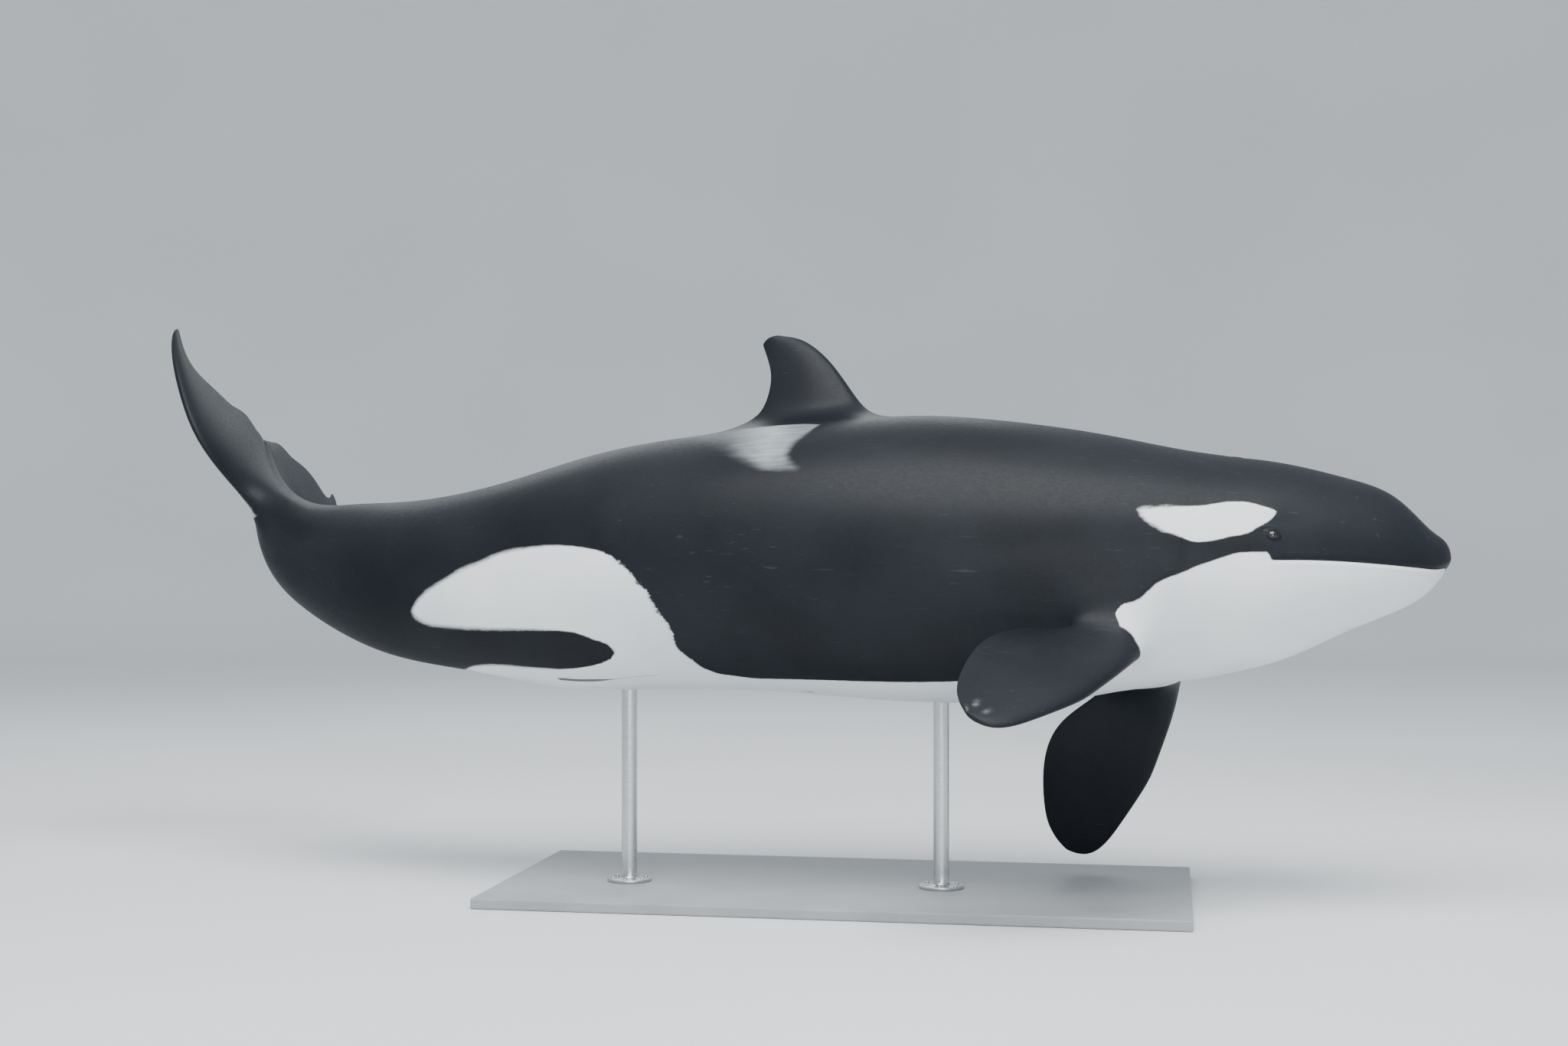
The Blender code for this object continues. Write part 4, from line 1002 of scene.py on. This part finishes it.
# ------------------------------------------------------------------ the skin
skin = Skin()
normals = skin.normals()
found = marks(skin, normals)
place, f, l, u = SPINE.at(skin.s)
offset = skin.points - place
rest = np.stack([skin.s - (offset * f).sum(1), (offset * l).sum(1), (offset * u).sum(1)], 1)
rise, pit_shade = folds(skin, found)
more, lid = lid_rise(skin)
skin.points = skin.points + normals * (rise + more)[:, None]
drape_lids(skin)
used = sorted({k for face in skin.faces for k in face})
code = np.full(len(skin.points), -1)
code[used] = np.arange(len(used))
body = mesh_from("orca_skin", skin.points[used], [tuple(int(code[k]) for k in face) for face in skin.faces], skin_look())

s, half = skin.s, found["half"]
degrees = np.degrees(half)
lobe_front = bell(s - 2.90, 0.16) * ease((degrees - 96) / 8) * (s < 3.1)
lobe_rear = ease((s - 3.10) / 0.5) * (s < 4.2)
patch_rear = ease((s - 0.93) / 0.12) * (s < 1.4) * (degrees < 95)
pectoral = (skin.fin == 2) | (skin.fin == 3)
give(body, "white", found["white"][used])
give(body, "patch", found["patch"][used])
give(body, "saddle", found["saddle"][used])
give(body, "under", found["under"][used])
give(body, "lip", np.clip(found["lip"], -0.3, 0.3)[used])
give(body, "soft", (0.0032 + 0.0030 * lobe_front + 0.0085 * lobe_rear + 0.0085 * patch_rear + 0.010 * (skin.fin > 3))[used])
give(body, "ragged", (0.006 + 0.032 * lobe_front + 0.010 * patch_rear + 0.03 * (skin.fin > 3))[used])
give(body, "streaked", (0.001 + 0.009 * lobe_rear + 0.022 * patch_rear)[used])
# Painted highlight in part: the saddle's grey is fullest over the rear of the dorsal fin's base and fades aft, and that
# brightest stretch also stands in for light falling on the back.
strength = (0.14 + 0.86 * ease((2.69 - s) / 0.25)) * ease((2.98 - s) / 0.26) * (0.40 + 0.60 * ease((degrees - 6) / 16))
strength = strength * (0.62 + 0.38 * ease((s - 2.34) / 0.14)) * (0.75 + 0.25 * ease((64 - degrees) / 12))
give(body, "saddle_soft", (0.007 + 0.016 * ease((degrees - 32) / 12) + 0.034 * ease((s - 2.44) / 0.22))[used])
give(body, "saddle_grey_and_highlight", strength[used])
give(body, "station", s[used])
give(body, "slit_across", ((degrees - np.interp(s, [2.883, 2.974, 3.069, 3.130, 3.200, 3.274], [164.0, 164.9, 167.4, 168.2, 168.8, 168.6])) * np.pi / 180 * np.interp(s, *RADIUS_AT) + 9.0 * (skin.fin > 0))[used])
give(body, "belly_across", ((np.mod(skin.turn, 2 * np.pi) - np.pi) * np.interp(s, *RADIUS_AT) + 9.0 * (skin.fin > 0))[used])
give(body, "on_body", (skin.fin == 0).astype(float)[used])
# Painted shade of the blowhole and the navel.
give(body, "pit_shade", pit_shade[used])
give(body, "lid", lid[used])
scuff = (skin.fin == 2) * (skin.face > -0.5) * sum(bell(skin.out - u, 0.022) * bell(skin.chord - v, w) for u, v, w in ((0.868, 0.50, 0.050), (0.851, 0.27, 0.035), (0.957, 0.635, 0.070)))
scuff = scuff + 0.5 * (skin.fin == 1) * bell(skin.out - 0.90, 0.06) * bell(skin.chord - 0.05, 0.06)
give(body, "scuff", np.clip(scuff, 0, 1)[used])
give(body, "rest", rest[used])

# The skin's unwrapped layout: the body on the left, the fins and the eye patches on the right.
SHEETS = {"body": (0.0, 0.0, 0.70, 1.0), "fluke_left": (0.71, 0.0, 0.28, 0.19), "fluke_right": (0.71, 0.20, 0.28, 0.19),
          "pectoral_fin_left": (0.71, 0.40, 0.28, 0.16), "pectoral_fin_right": (0.71, 0.57, 0.28, 0.16), "dorsal_fin": (0.71, 0.74, 0.28, 0.11),
          "eye1": (0.71, 0.86, 0.28, 0.06), "eye-1": (0.71, 0.93, 0.28, 0.06)}
layer = body.data.uv_layers.new(name="OFBake")
flat = []
for sheet, corners in skin.maps:
    x, y, wide, tall = SHEETS[sheet]
    for a, b in corners:
        flat += [x + 0.002 + a * (wide - 0.004), y + 0.002 + min(b, 1.0) * (tall - 0.004)]
layer.data.foreach_set("uv", np.array(flat, np.float32))
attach(body, "root")
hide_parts("head", "lower_jaw", "trunk", "tail_stock", "dorsal_fin", "pectoral_fin_left", "pectoral_fin_right", "fluke_left", "fluke_right")

# ------------------------------------------------------------------ the eyes
eye_material = eye_look()
for name, side in (("eye_left", 1), ("eye_right", -1)):
    at, turn, out = eye_at(side)
    centre = at - out * EYE_SINK
    front = SPINE.at(EYE[0])[1]
    a = unit(front - out * (front @ out))
    b = np.cross(out, a)
    points, faces, gaze, fibre = [centre + out * (EYE_RADIUS + 0.0013)], [], [0.0], [(0.0, 0.0, 0.0)]
    angles = np.concatenate([np.linspace(0, 70, 37)[1:], np.linspace(70, 180, 24)[1:-1]])
    around = 72
    for angle in angles:
        t = np.radians(angle)
        radius = EYE_RADIUS + 0.0013 * float(bell(angle, 26.0))
        for k in range(around):
            p = 2 * np.pi * k / around
            points.append(centre + radius * (out * np.cos(t) + (a * np.cos(p) + b * np.sin(p)) * np.sin(t)))
            gaze.append(angle)
            fibre.append((3 * np.cos(p), 3 * np.sin(p), 0.02 * angle))
    points.append(centre - out * EYE_RADIUS)
    gaze.append(180.0)
    fibre.append((0.0, 0.0, 3.6))
    faces += [(0, 1 + k, 1 + (k + 1) % around) for k in range(around)]
    for r in range(len(angles) - 1):
        for k in range(around):
            n = (k + 1) % around
            faces.append((1 + r * around + k, 1 + (r + 1) * around + k, 1 + (r + 1) * around + n, 1 + r * around + n))
    last = 1 + (len(angles) - 1) * around
    faces += [(len(points) - 1, last + (k + 1) % around, last + k) for k in range(around)]
    ball = mesh_from(name + "_ball", points, faces, eye_material)
    give(ball, "gaze", gaze)
    give(ball, "fibre", fibre)
    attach(ball, "root")
    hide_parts(name)

# ------------------------------------------------------------------ the stand
steel = steel_look()
for name in ("stand_rod_front", "stand_rod_rear"):
    low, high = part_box(name)
    x, y = (low.x + high.x) / 2, (low.y + high.y) / 2
    z0, z1 = low.z, high.z
    r, big = 0.0300, (high.x - low.x) / 2
    profile = [(0.0, z0), (big - 0.001, z0), (big, z0 + 0.001), (big, z0 + 0.0095), (big - 0.0008, z0 + 0.0113), (big - 0.0025, z0 + 0.012),
               (r + 0.012, z0 + 0.012), (r + 0.0085, z0 + 0.0128), (r + 0.0045, z0 + 0.0155), (r + 0.0018, z0 + 0.0200), (r, z0 + 0.0260)]
    profile += [(r, z) for z in np.linspace(z0 + 0.0260, z1 - 0.002, 24)[1:]] + [(r - 0.002, z1), (0.0, z1)]
    around = 96
    points, faces = [(x, y, z0)], []
    for radius, z in profile[1:-1]:
        points += [(x + radius * math.cos(2 * math.pi * k / around), y + radius * math.sin(2 * math.pi * k / around), z) for k in range(around)]
    points.append((x, y, z1))
    rings = len(profile) - 2
    faces += [(0, 1 + (k + 1) % around, 1 + k) for k in range(around)]
    for q in range(rings - 1):
        for k in range(around):
            n = (k + 1) % around
            faces.append((1 + q * around + k, 1 + q * around + n, 1 + (q + 1) * around + n, 1 + (q + 1) * around + k))
    top = 1 + (rings - 1) * around
    faces += [(len(points) - 1, top + k, top + (k + 1) % around) for k in range(around)]
    # Six domed screws hold the foot to the base.
    for j in range(6):
        t = 2 * math.pi * (j + 0.5) / 6
        cx, cy, first, sides = x + 0.066 * math.cos(t), y + 0.066 * math.sin(t), len(points), 28
        dome = [(0.0078, z0 + 0.0115), (0.0078, z0 + 0.0142), (0.0070, z0 + 0.0162), (0.0048, z0 + 0.0175), (0.0034, z0 + 0.0178), (0.0034, z0 + 0.0150)]
        for radius, z in dome:
            points += [(cx + radius * math.cos(2 * math.pi * k / sides), cy + radius * math.sin(2 * math.pi * k / sides), z) for k in range(sides)]
        for q in range(len(dome) - 1):
            for k in range(sides):
                n = (k + 1) % sides
                faces.append((first + q * sides + k, first + q * sides + n, first + (q + 1) * sides + n, first + (q + 1) * sides + k))
        faces.append(tuple(first + (len(dome) - 1) * sides + k for k in range(sides)))
        faces.append(tuple(first + k for k in reversed(range(sides))))
    rod = mesh_from(name + "_turned", points, faces, steel)
    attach(rod, "root")
    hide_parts(name)
paint = paint_look()
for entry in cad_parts["stand_base"].material_slots:
    entry.material = paint

# ------------------------------------------------------------------ studio
profile = [(0.0, 0.0), (3.0, 0.0), (6.0, 0.0), (9.0, 0.0), (12.0, 0.0), (15.0, 0.0)]
profile += [(15.0 + 7.0 * math.sin(t), 7.0 - 7.0 * math.cos(t)) for t in np.linspace(0, math.pi / 2, 19)[1:]]
profile += [(22.0, 12.0), (22.0, 18.0)]
around = 128
points, faces = [(0.0, 0.0, -0.0005)], []
for radius, z in profile[1:]:
    points += [(radius * math.cos(2 * math.pi * k / around), radius * math.sin(2 * math.pi * k / around), z - 0.0005) for k in range(around)]
faces += [(0, 1 + k, 1 + (k + 1) % around) for k in range(around)]
for q in range(len(profile) - 2):
    for k in range(around):
        n = (k + 1) % around
        faces.append((1 + q * around + k, 1 + (q + 1) * around + k, 1 + (q + 1) * around + n, 1 + q * around + n))
floor = mesh_from("studio_floor", points, faces, floor_look())


def lamp(name, place, aim, size, power, colour=(1, 1, 1)):
    data = bpy.data.lights.new(name, "AREA")
    data.shape = "RECTANGLE"
    data.size, data.size_y = size
    data.energy = power
    data.color = colour
    made = bpy.data.objects.new(name, data)
    bpy.context.scene.collection.objects.link(made)
    made.location = place
    made.rotation_euler = (Vector(aim) - Vector(place)).to_track_quat("-Z", "Y").to_euler()
    return made


lamp("key", (0.8, -3.5, 8.0), (0.0, 0.0, 1.2), (8.0, 5.0), 1100, (1.0, 0.995, 0.98))
lamp("front", (3.0, -10.5, 3.2), (0.2, 0.0, 1.1), (6.0, 4.0), 420, (0.97, 0.985, 1.0))
lamp("back", (-3.0, 7.0, 6.5), (0.0, 0.0, 1.2), (7.0, 4.0), 200, (0.95, 0.98, 1.0))
world = bpy.data.worlds.new("studio")
bpy.context.scene.world = world
world.use_nodes = True
world.node_tree.nodes["Background"].inputs["Color"].default_value = (0.86, 0.91, 0.96, 1)
world.node_tree.nodes["Background"].inputs["Strength"].default_value = 0.95

data = bpy.data.cameras.new("camera")
data.lens, data.sensor_width = 50.0, 36.0
data.clip_end = 100.0
camera = bpy.data.objects.new("camera", data)
bpy.context.scene.collection.objects.link(camera)
camera.location = (1.2141, -8.2417, 1.412)
camera.rotation_euler = (math.radians(90), 0.0, math.radians(10))
bpy.context.scene.camera = camera

# Short light paths are enough in this open, pale studio.
paths = bpy.context.scene.cycles
paths.max_bounces, paths.diffuse_bounces, paths.glossy_bounces = 4, 2, 2
paths.transmission_bounces = paths.volume_bounces = 0
paths.caustics_reflective = paths.caustics_refractive = False
